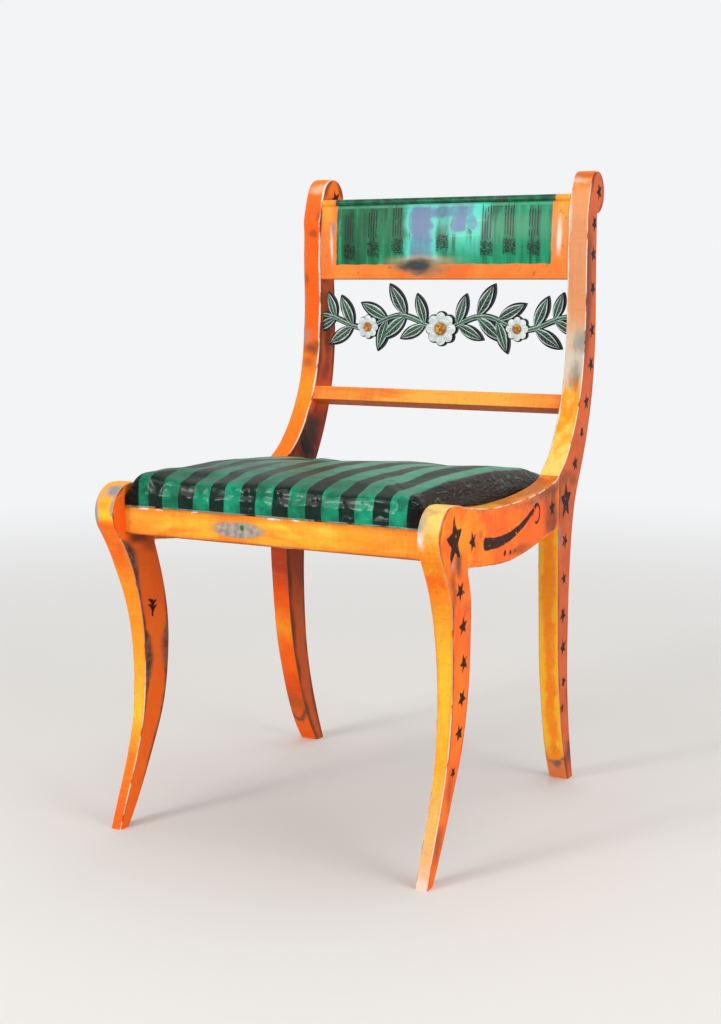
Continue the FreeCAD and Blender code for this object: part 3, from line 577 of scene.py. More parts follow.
def postMotifs(p):
    wobble = (p.noise(90.0, 2.0) - 0.5) * 0.004
    big = p.star(p.y + wobble, p.z + wobble, *post["bigStar"])
    row = starRow(p, post["stars"]) * (1 - p.window(p.z, *post["starGap"]))
    scroll = p.fade(p.z, *post["scrollOver"])
    return p.most(row, big) * p.most(outerSide(p), innerSide(p) * scroll)


def postFace(p):
    # rear legs: orange inside a yellow rim on the right, red-orange on the left; peach above the seat
    rightOne = p.x > 0
    z = p.z + (p.clouds - 0.5) * 0.045
    off = abs(acrossSide(p, "right_post") - 0.5) + (p.clouds - 0.5) * 0.65
    off = off + (p.noise(1.0, 3.0, p.stretched(40, 40, 24), distortion=1.0) - 0.5) * 0.9
    rim = p.fade(off, 0.16, 0.44) * p.fade(p.z, 0.03, 0.06)
    core = p.mix(p.fade(p.clouds, 0.36, 0.64), "coreLight", "coreDeep")
    core = p.mix(p.window(z, 0.285, 0.315, 0.01) * 0.4, core, "orange")
    rearLeg = p.mix(rightOne, p.run(z, post["leftLeg"]), p.mix(rim * 0.85, core, "yellow"))
    streaked = p.z + (p.noise(1.0, 4.0, p.stretched(90, 90, 12)) - 0.5) * 0.16
    stile = p.mix(rightOne, p.run(z, post["leftStile"]), p.run(streaked, post["rightStile"]))
    colour = p.mix(p.fade(p.z, *post["uprightOver"]), rearLeg, stile)
    block = p.fade(p.z + (p.fine - 0.5) * 0.01, *post["block"])
    return p.mix(block * 0.85, colour, p.mix(rightOne, "flame", "coral"))


def postFlank(p):
    # the inner faces are browner, most of all low down on the left one; the umber stretch under the seat is
    # painted shade
    flank = p.mix(p.fade(p.clouds, 0.35, 0.65), "flame", "red")
    deep = p.run(p.z + (p.clouds - 0.5) * 0.1, post["innerBrownAndShade"])
    flank = p.mix(innerSide(p) * 0.85, flank, deep)
    dull = p.mix(p.fade(p.clouds + (p.fine - 0.5) * 0.3, 0.40, 0.62), "dullRed", "dullOrange")
    return p.mix(outerSide(p) * 0.85, flank, dull)


def postWear(p, colour):
    grain = p.noise(42.0, 5.0)
    rubbed = p.noise(1.0, 5.0, p.stretched(120, 120, 34))
    fromFront, fromBack = outlineOf(p, "right_post", "z")
    rightOne = p.x > 0
    front, inner, outer = frontSide(p), innerSide(p), outerSide(p)
    onRight, onLeft = front * rightOne, front * (1 - rightOne)
    across = acrossSide(p, "right_post") * chair["side"]
    # a thin painted white highlight along the inner front edge of each upright
    line = p.fade(across + (p.noise(45.0, 4.0) - 0.5) * 0.004, *post["shineLine"]) * front
    line = line * p.fade(p.z, *post["shineOver"]) * p.fade(p.noise(70.0, 3.0), 0.36, 0.5)
    colour = p.mix(line * 0.85, colour, "white")
    chalk = p.window(p.z + (rubbed - 0.5) * 0.07, *post["chalk"]) * onRight
    colour = p.mix(chalk * p.fade(rubbed, 0.3, 0.6) * 0.7, colour, "chalk")
    colour = smudged(p, colour, across, onRight, rubbed, post["rightFront"])
    colour = smudged(p, colour, across, onLeft, grain, post["leftFront"])
    # dark places above both rear feet
    fromMiddle = across - chair["side"] / 2
    burntAt = p.z + (grain - 0.5) * 0.034 + rightOne * 0.011 - fromMiddle * fromMiddle * post["burntArch"]
    burnt = p.window(burntAt, *post["burnt"]) * p.fade(p.noise(60.0, 4.0), 0.26, 0.46)
    colour = p.mix(burnt * front * 0.8, colour, p.mix(rightOne, "burntBrown", "burntBlue"))
    # smears on the inner faces, darkest just over the seat of the left one
    leftInner = inner * (1 - rightOne)
    nearest = p.math("MINIMUM", fromFront, fromBack)
    smear = edgeSmearAndShade(p, nearest, 0.0100, p.noise(24.0, 5.0), 0.53) * inner
    colour = p.mix(smear * 0.7, colour, "smoke")
    bright = p.window(p.z + (p.clouds - 0.5) * 0.03, *post["bright"]) * leftInner
    colour = p.mix(bright * 0.7, colour, "flame")
    colour = smudged(p, colour, p.y, leftInner, grain, post["leftInner"])
    # the outer faces are smoky along the front edge, with a thin painted shade line along both edges, left
    # out at the joint with the seat rail
    smoky = p.fade(fromFront + (grain - 0.5) * 0.020, 0.030, 0.006)
    smoky = smoky * p.window(p.z + (p.clouds - 0.5) * 0.1, *post["smoky"])
    colour = p.mix(smoky * outer * 0.7, colour, "smoke")
    nearest = p.math("MINIMUM", fromFront + p.window(p.z, *post["railJoint"]), fromBack)
    thin = edgeSmearAndShade(p, nearest, 0.0060, p.noise(21.0, 5.0), 0.48) * outer
    colour = p.mix(thin * 0.6, colour, "smoke")
    return smudged(p, colour, p.y, outer, grain, post["outerMarks"])


# Seat rails and the slim rail

sideRail = {                  # depths where wear and painted shade begin and end
    "brightBefore": (-0.05, -0.19), "rearwards": (-0.10, 0.09), "bandBehind": (-0.205, -0.150),
    "topShadeBehind": (-0.17, -0.06),
    "stars": (at(98, 407) + (0.0115, 1.2, 0.3), at(379, 412) + (0.0112, 1.15, 0.1)),
    "strokeStart": at(140, 398), "strokeEnd": at(318, 424), "strokeBend": -0.0135,
    "strokeThick": (0.0078, 0.0030), "curl": at(318, 411.5), "curlRadius": 0.0118,
    "drops": (at(205, 377) + (0.0042,), at(224, 375) + (0.0034,), at(240, 374.5) + (0.0026,)),
    "marks": (
        at(122, 412) + (0.012, 0.010, "brown", 0.5), at(388, 400) + (0.014, 0.050, "smoke", 0.7),
        at(352, 438) + (0.060, 0.014, "smoke", 0.6), at(340, 400) + (0.070, 0.050, "red", 0.5),
        at(255, 374) + (0.060, 0.008, "brown", 0.6), at(372, 388) + (0.026, 0.018, "smoke", 0.5),
        at(384, 404) + (0.044, 0.060, "brown", 0.7)),
}
frontRail = {                 # the rubbed oval and its dot: middle and reach in x and z
    "oval": ((-0.040, 0.3935), (0.054, 0.0135)), "dot": ((-0.0355, 0.396), (0.0035, 0.0050)),
    "top": 0.4098, "bottom": 0.3774, "upperRim": (0.4010, 0.4090), "lowerRim": (0.3850, 0.3790),
    "middle": -0.02, "ends": (0.10, 0.17),
}
midRail = {"gold": (-0.06, 0.14, 0.05), "ends": (0.178, 0.19)}


def railMotifs(p):
    # a tapered brushed flourish that curls over at its end, with three drops under it
    wobble = (p.noise(70.0, 2.0) - 0.5) * 0.003
    a, b = p.y + wobble, p.z + wobble
    start, curl = sideRail["strokeStart"], sideRail["curl"]
    body = p.stroke(a, b, start, sideRail["strokeEnd"], sideRail["strokeBend"], sideRail["strokeThick"])
    body = p.most(body, p.fade(p.length(a - start[0], b - start[1]), 0.0085, 0.0073))
    apart = p.length(a - curl[0], b - curl[1])
    angle = p.math("ARCTAN2", b - curl[1], a - curl[0])
    hook = p.fade(abs(apart - sideRail["curlRadius"] - angle * 0.0006) - 0.0019, 0.0007, -0.0007)
    marks = p.most(body, hook * p.fade(angle, -2.1, -1.9))
    for star in sideRail["stars"]:
        marks = p.most(marks, p.star(p.y, p.z, *star))
    for y, z, size in sideRail["drops"]:
        marks = p.most(marks, p.fade(p.length(a - y, b - z), size, size - 0.0012))
    return marks * outerSide(p)


def railFlank(p):
    flank = p.mix(p.fade(p.clouds, 0.35, 0.65), "flame", "orange")
    bright = p.fade(p.y + (p.clouds - 0.5) * 0.20, *sideRail["brightBefore"])
    return p.mix(bright * p.fade(p.clouds + (p.fine - 0.5) * 0.4, 0.36, 0.60) * 0.8, flank, "amber")


def sideRailWear(p, colour):
    # a soft grey-brown band runs just under the top edge of the side rails, wider towards the post
    fromBottom, fromTop = outlineOf(p, "right_side_rail", "y")
    grain = p.noise(34.0, 5.0)
    drawn = p.noise(1.0, 6.0, p.stretched(40, 22, 90))
    side = p.fade(abs(p.nx), 0.3, 0.7)
    rearwards = p.fade(p.y, *sideRail["rearwards"])
    band = p.window(fromTop + (grain - 0.5) * 0.012, 0.002, 0.006 + rearwards * 0.010, 0.006)
    band = band * p.fade(drawn + rearwards * 0.14, 0.34, 0.72) * p.fade(p.y, *sideRail["bandBehind"])
    underEdge = p.window(fromBottom + (grain - 0.5) * 0.006, -0.001, 0.0022, 0.0015)
    underEdge = underEdge * p.fade(p.noise(24.0, 4.0), 0.5, 0.64)
    # the top face turns rust behind the front, as painted shade under the cushion's overhang
    onTop = p.fade(p.nz, 0.5, 0.8) * p.fade(p.y, *sideRail["topShadeBehind"])
    colour = p.mix(onTop * (0.3 + p.fade(drawn, 0.4, 0.66) * 0.5), colour, "rust")
    grey = p.mix(p.fade(p.fine, 0.4, 0.6), "railDirt", "railDust")
    colour = p.mix(p.most(band * 0.75, underEdge * 0.6) * side, colour, grey)
    return smudged(p, colour, p.y, side, grain, sideRail["marks"])


def frontRailFace(p):
    # amber with yellow drifts, deeper along both edges
    drifts = p.noise(1.0, 5.0, p.stretched(13, 40, 46), distortion=0.5)
    base = p.mix(p.fade(drifts, 0.38, 0.54), "railDeep", "railLight")
    base = p.mix(p.fade(drifts, 0.52, 0.66) * 0.85, base, "railYellow")
    fromMiddle = abs(p.x - frontRail["middle"])
    towardsEnds = p.fade(fromMiddle + (drifts - 0.5) * 0.10, *frontRail["ends"])
    base = p.mix(towardsEnds * 0.55, base, "railEnd")
    rims = p.most(p.fade(p.z, *frontRail["upperRim"]), p.fade(p.z, *frontRail["lowerRim"]))
    return p.mix(rims * 0.5, p.mix(0.9, cloudy(p, 0.56, 0.63), base), "railRim")


def frontRailWear(p, colour):
    grain = p.noise(80.0, 4.0, p.stretched(0.5, 1.0, 1.0))
    front = frontSide(p)
    oval = p.haze(p.x, p.z, *frontRail["oval"], grain, 0.5) * front
    colour = p.mix(p.fade(oval, 0.02, 0.3) * 0.6, colour, "ovalRim")
    mottle = p.mix(p.fade(p.noise(150.0, 4.0), 0.35, 0.65), "ovalGrey", "ovalSand")
    colour = p.mix(p.fade(oval, 0.16, 0.55) * 0.9, colour, mottle)
    dot = p.haze(p.x, p.z, *frontRail["dot"], p.noise(200.0, 4.0), 1.2, 0.45) * front
    colour = p.mix(dot, colour, "moss")
    top, bottom = frontRail["top"], frontRail["bottom"]
    chips = p.fade(p.z, top - 0.0020, top) * p.fade(p.noise(1.0, 5.0, p.stretched(26, 60, 60)), 0.6, 0.66)
    colour = p.mix(chips * 0.8, colour, "white")
    seam = p.fade(p.z, top - 0.0026, top + 0.0002) * p.fade(p.noise(30.0, 4.0), 0.36, 0.6)
    colour = p.mix(seam * 0.5 * (1 - chips), colour, "seam")
    foot = p.fade(p.z + (grain - 0.5) * 0.003, bottom + 0.0026, bottom)
    return p.mix(foot * 0.6, colour, "brown")


def midRailFace(p):
    # the slim rail: orange, golden where it is rubbed on top
    drifts = p.noise(1.0, 4.0, p.stretched(11, 60, 60), distortion=0.4)
    base = p.mix(p.fade(drifts, 0.36, 0.64), "slatDeep", "slatLight")
    gold = p.window(p.x + (drifts - 0.5) * 0.2, *midRail["gold"]) * p.fade(abs(p.ny) + p.nz * 0.4, 0.5, 0.9)
    base = p.mix(gold * 0.75, base, "slatGold")
    # the underside is painted darker, as shade
    base = p.mix(p.fade(p.nz, -0.2, -0.6) * 0.8, base, "slatUnder")
    return p.mix(p.fade(abs(p.x), *midRail["ends"]) * 0.5, base, "slatEnd")


legPaint = paintedWood("legPaint", {
    "face": legFace, "flank": legFlank, "wear": legWear, "motifs": legMotifs, "edgeBreak": 0.36,
    "edgeShineTone": legEdgeShine})
postPaint = paintedWood("postPaint", {
    "face": postFace, "flank": postFlank, "wear": postWear, "motifs": postMotifs, "edgeBreak": 0.36,
    "edgeShineTone": postEdgeShine, "brushed": 0.05})
sideRailPaint = paintedWood("sideRailPaint", {
    "face": lambda p: cloudy(p, 0.5, 0.5), "flank": railFlank, "wear": sideRailWear, "motifs": railMotifs,
    "upright": False})
frontRailPaint = paintedWood("frontRailPaint", {
    "face": frontRailFace, "wear": frontRailWear, "upright": False, "cloudScale": 22.0,
    "edges": "ends", "edgeShine": 0.6, "edgeBreak": 0.58})
midRailPaint = paintedWood("midRailPaint", {"face": midRailFace, "upright": False, "edges": None})
rearRailPaint = paintedWood("rearRailPaint", {
    "face": lambda p: cloudy(p, 0.45, 0.5), "upright": False, "edges": "ends", "edgeShine": 0.3,
    "edgeBreak": 0.5})
print("frame paints made")

# Crest rail

crest = {                     # heights and ends of the green field; marks: x, z, reach in x and z
    "band": 0.7115, "bead": 0.7958, "left": -0.1655, "right": 0.1675, "lowEdge": (0.689, 0.6915),
    "beadEnds": (-0.169, 0.171), "shineEnds": (-0.166, 0.168), "shineUnder": (0.0045, 0.0002),
    "strokeGroups": (         # x, z and strength of each
        (-0.144, 0.752, 0.7), (-0.106, 0.757, 1.0), (-0.067, 0.760, 1.0), (0.004, 0.766, 0.0),
        (0.072, 0.757, 0.9), (0.106, 0.759, 1.0), (0.142, 0.755, 1.0)),
    "strokePitch": 0.0040,    # a group's parts: half its width, from and to around its height
    "strokes": (0.0082, -0.010, 0.034), "hatching": (0.0095, -0.034, -0.013),
    "shade": (0.0085, -0.03, 0.03),
    "ends": (
        (-0.1738, 0.738, 0.0036, 0.036, "white", 1.0), (-0.1716, 0.764, 0.0042, 0.022, "steelBlue", 1.0),
        (0.1785, 0.748, 0.0048, 0.034, "white", 0.9), (0.1722, 0.748, 0.0040, 0.044, "ash", 0.5)),
    "trunk": (-0.046, -0.013, 0.006), "trunkUnder": (0.806, 0.790), "barAcross": (-0.046, 0.050, 0.009),
    "barUp": (0.777, 0.794, 0.006), "haloTrunk": (-0.055, -0.005, 0.008),
    "haloAcross": (-0.055, 0.072, 0.014), "haloUp": (0.762, 0.803, 0.010),
    "lobes": (((0.031, 0.769), (0.021, 0.026)), ((0.050, 0.767), (0.013, 0.020))),
    "haloLobe": ((0.042, 0.758), (0.050, 0.058)), "glow": ((-0.025, 0.716), (0.080, 0.012)),
    "smudge": ((-0.028, 0.7078), (0.066, 0.018)), "core": ((-0.034, 0.7085), (0.046, 0.0150)),
}
crestColours = dict(
    woodColours, bandDeep="f2722c", bandLight="f58c38", fieldDark="146a42", fieldBright="0f9164",
    streakDark="0b4229", streakLight="2fb083", halo="55dcc4", haloPale="b4ead6", violet="6b74a4",
    blue="5aa3b6", teal="4a8c92", greyViolet="7b7f8e", rim="62c9c6", shade="0c3626", ink="06150f",
    glow="e8b48e", smudge="8d7a5e", core="2b3a3e", beadDark="0f4a33", beadLight="1d6d4c", shine="7fd0ac")


def strokesAt(p):
    # how far a point is from the middle of the nearest group of strokes, its height and its strength
    groups = crest["strokeGroups"]
    starts = [0.0] + [(left[0] + right[0]) / 2 + 0.5 for left, right in zip(groups, groups[1:])]
    stops = [(start, (x + 0.5, z, strength, 1.0)) for start, (x, z, strength) in zip(starts, groups)]
    middle, level, strength = p.channels(p.ramp(p.x + 0.5, stops, "CONSTANT"))
    return p.x - (middle - 0.5), level, strength


def groupPart(p, off, z, level, part, softness):
    half, low, high = crest[part]
    return p.window(off, -half, half, softness[0]) * p.window(z, level + low, level + high, softness[1])


def crestField(p, streaks, broad):
    # green, darker to the left and brighter to the right
    crossed = p.noise(1.0, 4.0, p.stretched(20, 20, 260))
    green = p.mix(p.fade(p.x + (broad - 0.5) * 0.4, -0.14, 0.08), "fieldDark", "fieldBright")
    uneven = streaks + (crossed - 0.5) * 0.12
    green = p.mix(p.fade(uneven, 0.46, 0.66) * 0.75, green, "streakDark")
    green = p.mix(p.fade(uneven, 0.46, 0.28) * 0.6, green, "streakLight")
    # a place near the middle that is rubbed to violet and blue, running down to the band
    grain = p.noise(26.0, 5.0, distortion=0.5)
    a = p.x + (p.noise(38.0, 4.0) - 0.5) * 0.026 + (streaks - 0.5) * 0.010
    b = p.z + (p.noise(31.0, 4.0) - 0.5) * 0.030
    trunk = p.window(a, *crest["trunk"]) * p.fade(b, *crest["trunkUnder"])
    bar = p.window(a, *crest["barAcross"]) * p.window(b, *crest["barUp"])
    lobes = p.most(*[p.haze(a, b, *lobe, grain) for lobe in crest["lobes"]])
    patch = p.most(trunk, bar, p.fade(lobes, 0.1, 0.7))
    haloBar = p.window(a, *crest["haloAcross"]) * p.window(b, *crest["haloUp"])
    halo = p.most(p.window(a, *crest["haloTrunk"]), haloBar, p.haze(a, b, *crest["haloLobe"], grain))
    green = p.mix(halo * p.fade(streaks, 0.70, 0.44) * 0.95, green, "halo")
    green = p.mix(halo * p.fade(crossed, 0.56, 0.72) * 0.25, green, "haloPale")
    violet = p.mix(p.fade(grain + (streaks - 0.5) * 0.9, 0.40, 0.60), "violet", "blue")
    violet = p.mix(p.fade(crossed + (grain - 0.5) * 0.6, 0.50, 0.70) * 0.5, violet, "teal")
    violet = p.mix(p.fade(p.z + (streaks - 0.5) * 0.03, 0.745, 0.715) * 0.6, violet, "greyViolet")
    rubbedThrough = patch + (streaks - 0.5) * 0.7
    green = p.mix(p.fade(rubbedThrough, 0.10, 0.40) * 0.8, green, "rim")
    green = p.mix(p.fade(rubbedThrough, 0.30, 0.95) * 0.9, green, violet)
    # groups of thin dark upright strokes over a hatched foot
    off, level, strength = strokesAt(p)
    ragged = (p.noise(1.0, 1.0, p.stretched(300, 300, 1)) - 0.5) * 0.03
    lines = p.fade(p.math("SINE", off * (2 * math.pi / crest["strokePitch"])), -0.35, 0.35)
    strokes = groupPart(p, off, p.z + ragged, level, "strokes", (0.0006, 0.001)) * lines * strength
    hatching = groupPart(p, off, p.z + ragged * 0.4, level, "hatching", (0.001, 0.002))
    dabs = p.fade(p.noise(1.0, 2.0, p.stretched(340, 340, 620)), 0.42, 0.50)
    inked = p.most(strokes, hatching * dabs) * p.fade(p.noise(140.0, 3.0), 0.30, 0.44)
    shaded = groupPart(p, off, p.z, level, "shade", (0.004, 0.010))
    return p.mix(inked * 0.95, p.mix(shaded * 0.35, green, "shade"), "ink")


def makeCrestPaint():
    p = newPaint("crestPaint", crestColours)
    clouds = p.noise(17.0, 4.0, distortion=0.6)
    fine = p.noise(95.0, 4.0)
    streaks = p.noise(1.0, 4.0, p.stretched(110, 110, 8))
    broad = p.noise(1.0, 3.0, p.stretched(26, 26, 5))
    front = p.fade(p.ny, -0.15, -0.45)
    orange = p.mix(p.fade(clouds, 0.35, 0.7), "bandDeep", "bandLight")
    corners = p.fade(abs(p.x), 0.166, 0.180) * p.fade(p.z + (streaks - 0.5) * 0.05, 0.745, 0.785)
    orange = p.mix(corners * 0.45, orange, "yellow")
    orange = p.mix(p.fade(fine, 0.6, 0.7) * 0.4, orange, "brown")
    # the field ends raggedly on the orange
    edge = (p.noise(70.0, 3.0) - 0.5) * 0.004
    field = p.fade(p.z + edge, crest["band"] - 0.001, crest["band"] + 0.001)
    field = field * p.window(p.x + edge, crest["left"], crest["right"], 0.0008) * front
    colour = p.mix(field, orange, crestField(p, streaks, broad))
    # chalky rubbed ends and a dark smudge on the band
    chalk = p.noise(1.0, 5.0, p.stretched(130, 130, 24))
    smear = p.noise(1.0, 4.0, p.stretched(30, 30, 80))
    colour = smudged(p, colour, p.x, front, chalk, crest["ends"])
    glow = p.haze(p.x, p.z, *crest["glow"], smear, 0.5) * front
    colour = p.mix(glow * 0.6, colour, "glow")
    smudge = p.haze(p.x, p.z, *crest["smudge"], smear, 1.0) * front
    colour = p.mix(p.fade(smudge, 0.0, 0.6) * 0.75, colour, "smudge")
    core = p.haze(p.x, p.z, *crest["core"], smear, 1.1) * front
    colour = p.mix(p.fade(core, 0.05, 0.95) * 0.95, colour, "core")
    # rolled top edge in dark green with a painted highlight line under it
    bead = p.fade(p.z, crest["bead"] - 0.0004, crest["bead"] + 0.0004)
    bead = bead * p.window(p.x, *crest["beadEnds"], 0.001)
    top = p.mix(p.fade(fine, 0.4, 0.65), "beadDark", "beadLight")
    top = p.mix(p.fade(streaks, 0.62, 0.7) * 0.5, top, "brown")
    colour = p.mix(bead, colour, top)
    shineFrom, shineTo = [crest["bead"] - under for under in crest["shineUnder"]]
    shine = p.window(p.z, shineFrom, shineTo, 0.001) * front * p.window(p.x, *crest["shineEnds"], 0.001)
    colour = p.mix(shine * p.fade(streaks, 0.3, 0.6) * 0.35, colour, "shine")
    colour = p.mix(p.window(p.z, *crest["lowEdge"], 0.0006) * 0.5, colour, "smoke")
    height = clouds * 0.4 + fine * 0.3 + streaks * 0.25
    return p.finish(colour, 0.34 + clouds * 0.16, height, 0.0006, coat=0.1, coatRough=0.15, gloss=0.12)


dress(nodes["crest_rail"], makeCrestPaint())
for side in ("right", "left"):
    dress(nodes[side + "_front_leg"], legPaint)
    dress(nodes[side + "_post"], postPaint)
    dress(nodes[side + "_side_rail"], sideRailPaint)
dress(nodes["front_rail"], frontRailPaint)
dress(nodes["mid_rail"], midRailPaint)
dress(nodes["rear_rail"], rearRailPaint)
print("frame dressed")

# Plain inner materials

innerLook = {"grain": (6, 90, 90), "poreShare": 9, "plyPitch": 0.0028, "weave": 5200.0}


def timber(name, light, dark):
    p = newPaint(name, {"light": light, "dark": dark})
    rings = p.noise(1.0, 4.0, p.stretched(*innerLook["grain"]), distortion=0.8)
    pores = p.noise(1.0, 2.0, p.stretched(*[s * innerLook["poreShare"] for s in innerLook["grain"]]))
    colour = p.mix(p.fade(rings, 0.35, 0.65), "light", "dark")
    colour = p.mix(p.fade(pores, 0.58, 0.7) * 0.4, colour, "dark")
    return p.finish(colour, 0.6 + pores * 0.2, rings * 0.5 + pores * 0.4, 0.0003)


def plyWood():
    p = newPaint("plyWood", {"light": "d3b183", "dark": "b98f5c", "glue": "8a6238"})
    face = p.noise(1.0, 4.0, p.stretched(8, 70, 70), distortion=1.0)
    colour = p.mix(p.fade(face, 0.35, 0.65), "light", "dark")
    layers = p.fade(p.math("SINE", p.z * (2 * math.pi / innerLook["plyPitch"])), -0.2, 0.2)
    edge = p.fade(abs(p.nz), 0.7, 0.3)
    colour = p.mix(edge * layers * 0.6, colour, "glue")
    return p.finish(colour, 0.7, face, 0.0003)


def plainSteel():
    p = newPaint("plainSteel", {"bright": "b5b5b8", "dull": "7b6a5c"})
    brushed = p.noise(1.0, 3.0, p.stretched(300, 300, 2400))
    spots = p.noise(300.0, 3.0)
    colour = p.mix(p.fade(spots, 0.6, 0.75), "bright", "dull")
    return p.finish(colour, 0.3 + brushed * 0.2, brushed, 0.0001, metallic=1.0)


def dustCloth():
    p = newPaint("dustCloth", {"black": "1a1a1b", "lint": "3a393a"})
    weave = p.math("SINE", p.x * innerLook["weave"]) * p.math("SINE", p.y * innerLook["weave"])
    lint = p.noise(120.0, 4.0)
    colour = p.mix(p.fade(lint, 0.5, 0.8) * 0.5, "black", "lint")
    return p.finish(colour, 0.9, weave, 0.0002, sheen=0.2)


blockWood = timber("blockWood", "c29a68", "9a6f42")
dowelWood = timber("dowelWood", "d8b98c", "b8935f")
steel = plainSteel()
for name in nodes:
    if "corner_block" in name:
        dress(nodes[name], blockWood)
    elif "dowels" in name:
        dress(nodes[name], dowelWood)
    elif name in ("ornament_pins", "block_screws", "seat_screws", "cover_tacks"):
        dress(nodes[name], steel)
dress(nodes["seat_board"], plyWood())
dress(nodes["dust_cover"], dustCloth())
print("inner pieces dressed")

# Modelling helpers


def rest():
    # back to object mode with nothing selected
    if bpy.context.object and bpy.context.object.mode != "OBJECT":
        bpy.ops.object.mode_set(mode="OBJECT")
    bpy.ops.object.select_all(action="DESELECT")


def hold(piece):
    rest()
    piece.select_set(True)
    bpy.context.view_layer.objects.active = piece


def pick(piece, test, kind="vertices"):
    # selects the points or faces that pass a test, ready for an edit
    bpy.ops.object.mode_set(mode="OBJECT")
    mesh = piece.data
    for group in (mesh.vertices, mesh.edges, mesh.polygons):
        group.foreach_set("select", [False] * len(group))
    for item in getattr(mesh, kind):
        item.select = test(item)
    bpy.ops.object.mode_set(mode="EDIT")
    bpy.ops.mesh.select_mode(type="VERT" if kind == "vertices" else "FACE")


def settle(piece):
    # the piece's place goes into its mesh
    hold(piece)
    bpy.ops.object.transform_apply(location=True, rotation=True, scale=True)


def applyModifier(piece, kind, settings):
    hold(piece)
    modifier = piece.modifiers.new(kind.title(), kind)
    for key, value in settings.items():
        setattr(modifier, key, value)
    bpy.ops.object.modifier_apply(modifier=modifier.name)


def smoothed(piece, degrees):
    hold(piece)
    bpy.ops.object.shade_smooth_by_angle(angle=math.radians(degrees))


def copyOf(piece, name):
    made = piece.copy()
    made.data = piece.data.copy()
    made.name = name
    scene.collection.objects.link(made)
    return made


def joined(pieces, name):
    hold(pieces[0])
    for piece in pieces:
        piece.select_set(True)
    bpy.ops.object.join()
    pieces[0].name = name
    pieces[0].data.name = name
    return pieces[0]


def gridPiece(name, columns, rows, middle, cup):
    # a flat unit grid along X, raised along its middle line, left ready for edits
    rest()
    bpy.ops.mesh.primitive_grid_add(x_subdivisions=columns, y_subdivisions=rows, size=1.0, location=middle)
    piece = bpy.context.object
    piece.name = name
    settle(piece)
    hold(piece)
    bpy.ops.object.mode_set(mode="EDIT")
    for row in range(rows + 1):
        place = row / rows - 0.5
        pick(piece, lambda v: abs(v.co.y - place) < 0.01)
        bpy.ops.transform.translate(value=(0, 0, cup * (1 - (2 * place) ** 2)))
    return piece


# The vine in the back

vine = {                      # the same winding stem, leaves and flowers that the plate has
    "level": 0.630, "wave": 0.009, "halfWaves": 3, "relief": 0.0014, "upright": math.radians(90),
    "stemWide": 0.0066, "stemColumns": 120, "stemRows": 4, "stemShare": 0.999, "stemCup": 0.0009,
    "leafPlaces": (0.13, 0.29, 0.45, 0.74, 0.89), "leafSizes": (0.86, 1.0, 0.92, 0.92, 0.76),
    "leafLength": 0.054, "leafWidth": 0.021, "leafAngle": 50.0, "leafFill": 0.93, "leafPinch": 0.84,
    "leafBelly": 0.45, "leafTip": 0.9, "leafGrid": (12, 6), "leafCup": 0.0006,
    "petals": 8, "petalLength": 0.96, "petalWidth": 0.66, "petalBelly": 0.66, "petalTip": 0.55,
    "petalGrid": (8, 6), "petalCup": 0.001,
    "flowers": (              # name, place along the vine, radius
        ("middleFlower", 0.0, 0.025), ("rightFlower", 0.61, 0.018), ("leftFlower", -0.61, 0.018)),
    "eyeShare": 0.34, "eyeDeep": 0.002, "eyeOut": 0.0040, "eyeSides": 40, "eyeBevel": 0.0005,
    "insetShare": 0.1, "insets": (0.0008, -0.0005), "thinnest": 0.02, "bladeSmooth": 40, "eyeSmooth": 50,
    "leafLift": (0.0002, 0.0001), "petalLift": (0.0008, 0.0002),
}
vineColours = {
    "leafDark": "12301f", "leafLight": "1f5236", "sage": "9fb5b3", "silver": "d7e0e2",
    "silverDeep": "b4c4c6", "outline": "15191a", "petalLight": "e9eeee", "petalDeep": "cdd8da",
    "petalLine": "6c8d85", "petalRoot": "3d6a58", "eyeYellow": "f2b83c", "eyeOrange": "d9792e",
    "eyeBrown": "6d3a1e", "stemDark": "1f4a35", "stemLight": "34704f", "stemLine": "cfdadc",
    "plateDark": "1e4634", "plateLight": "2c5e45", "plateEdge": "14181a",
}
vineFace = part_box("ornament")[0].y
vineReach = halfAt(vineFace) - chair["side"]


def vineAt(share):
    return share * vineReach, vine["level"] - vine["wave"] * math.cos(math.pi * vine["halfWaves"] * share)


def vineTurn(share):
    rise = vine["wave"] * math.pi * vine["halfWaves"] * math.sin(math.pi * vine["halfWaves"] * share)
    return math.atan2(rise, vineReach)


def blade(name, length, width, belly, tipShare, grid, cup):
    # a flat blade along X, wide at its belly and drawn to a point
    piece = gridPiece(name, *grid, (0.5, 0, 0), cup)
    piece.data.name = name
    for column in range(grid[0] + 1):
        place = column / grid[0]
        pick(piece, lambda v: abs(v.co.x - place) < 0.01)
        t = place / belly if place < belly else (1 - place) / (1 - belly)
        spread = max(vine["thinnest"], math.sin(min(1.0, t) * math.pi / 2) ** tipShare)
        bpy.ops.transform.resize(value=(1, spread, spread), center_override=(place, 0, 0))
    bpy.ops.mesh.select_all(action="SELECT")
    bpy.ops.transform.resize(value=(length, width, 1), center_override=(0, 0, 0))
    bpy.ops.object.mode_set(mode="OBJECT")
    applyModifier(piece, "SOLIDIFY", {"thickness": vine["relief"], "offset": -1.0, "use_even_offset": False})
    smoothed(piece, vine["bladeSmooth"])
    return piece


def setOnPlate(piece, x, z, turn, size=1.0, lift=0.0):
    # stands a blade up against the plate's front, at its size and turned about its root
    piece.matrix_world = (Matrix.Translation((x, vineFace - vine["relief"] - lift, z))
                          @ Matrix.Rotation(-turn, 4, "Y") @ Matrix.Rotation(vine["upright"], 4, "X")
                          @ Matrix.Diagonal((size, size, 1, 1)))
    settle(piece)


def onVine(piece, paint):
    dress(piece, paint)
    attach(piece, "root")


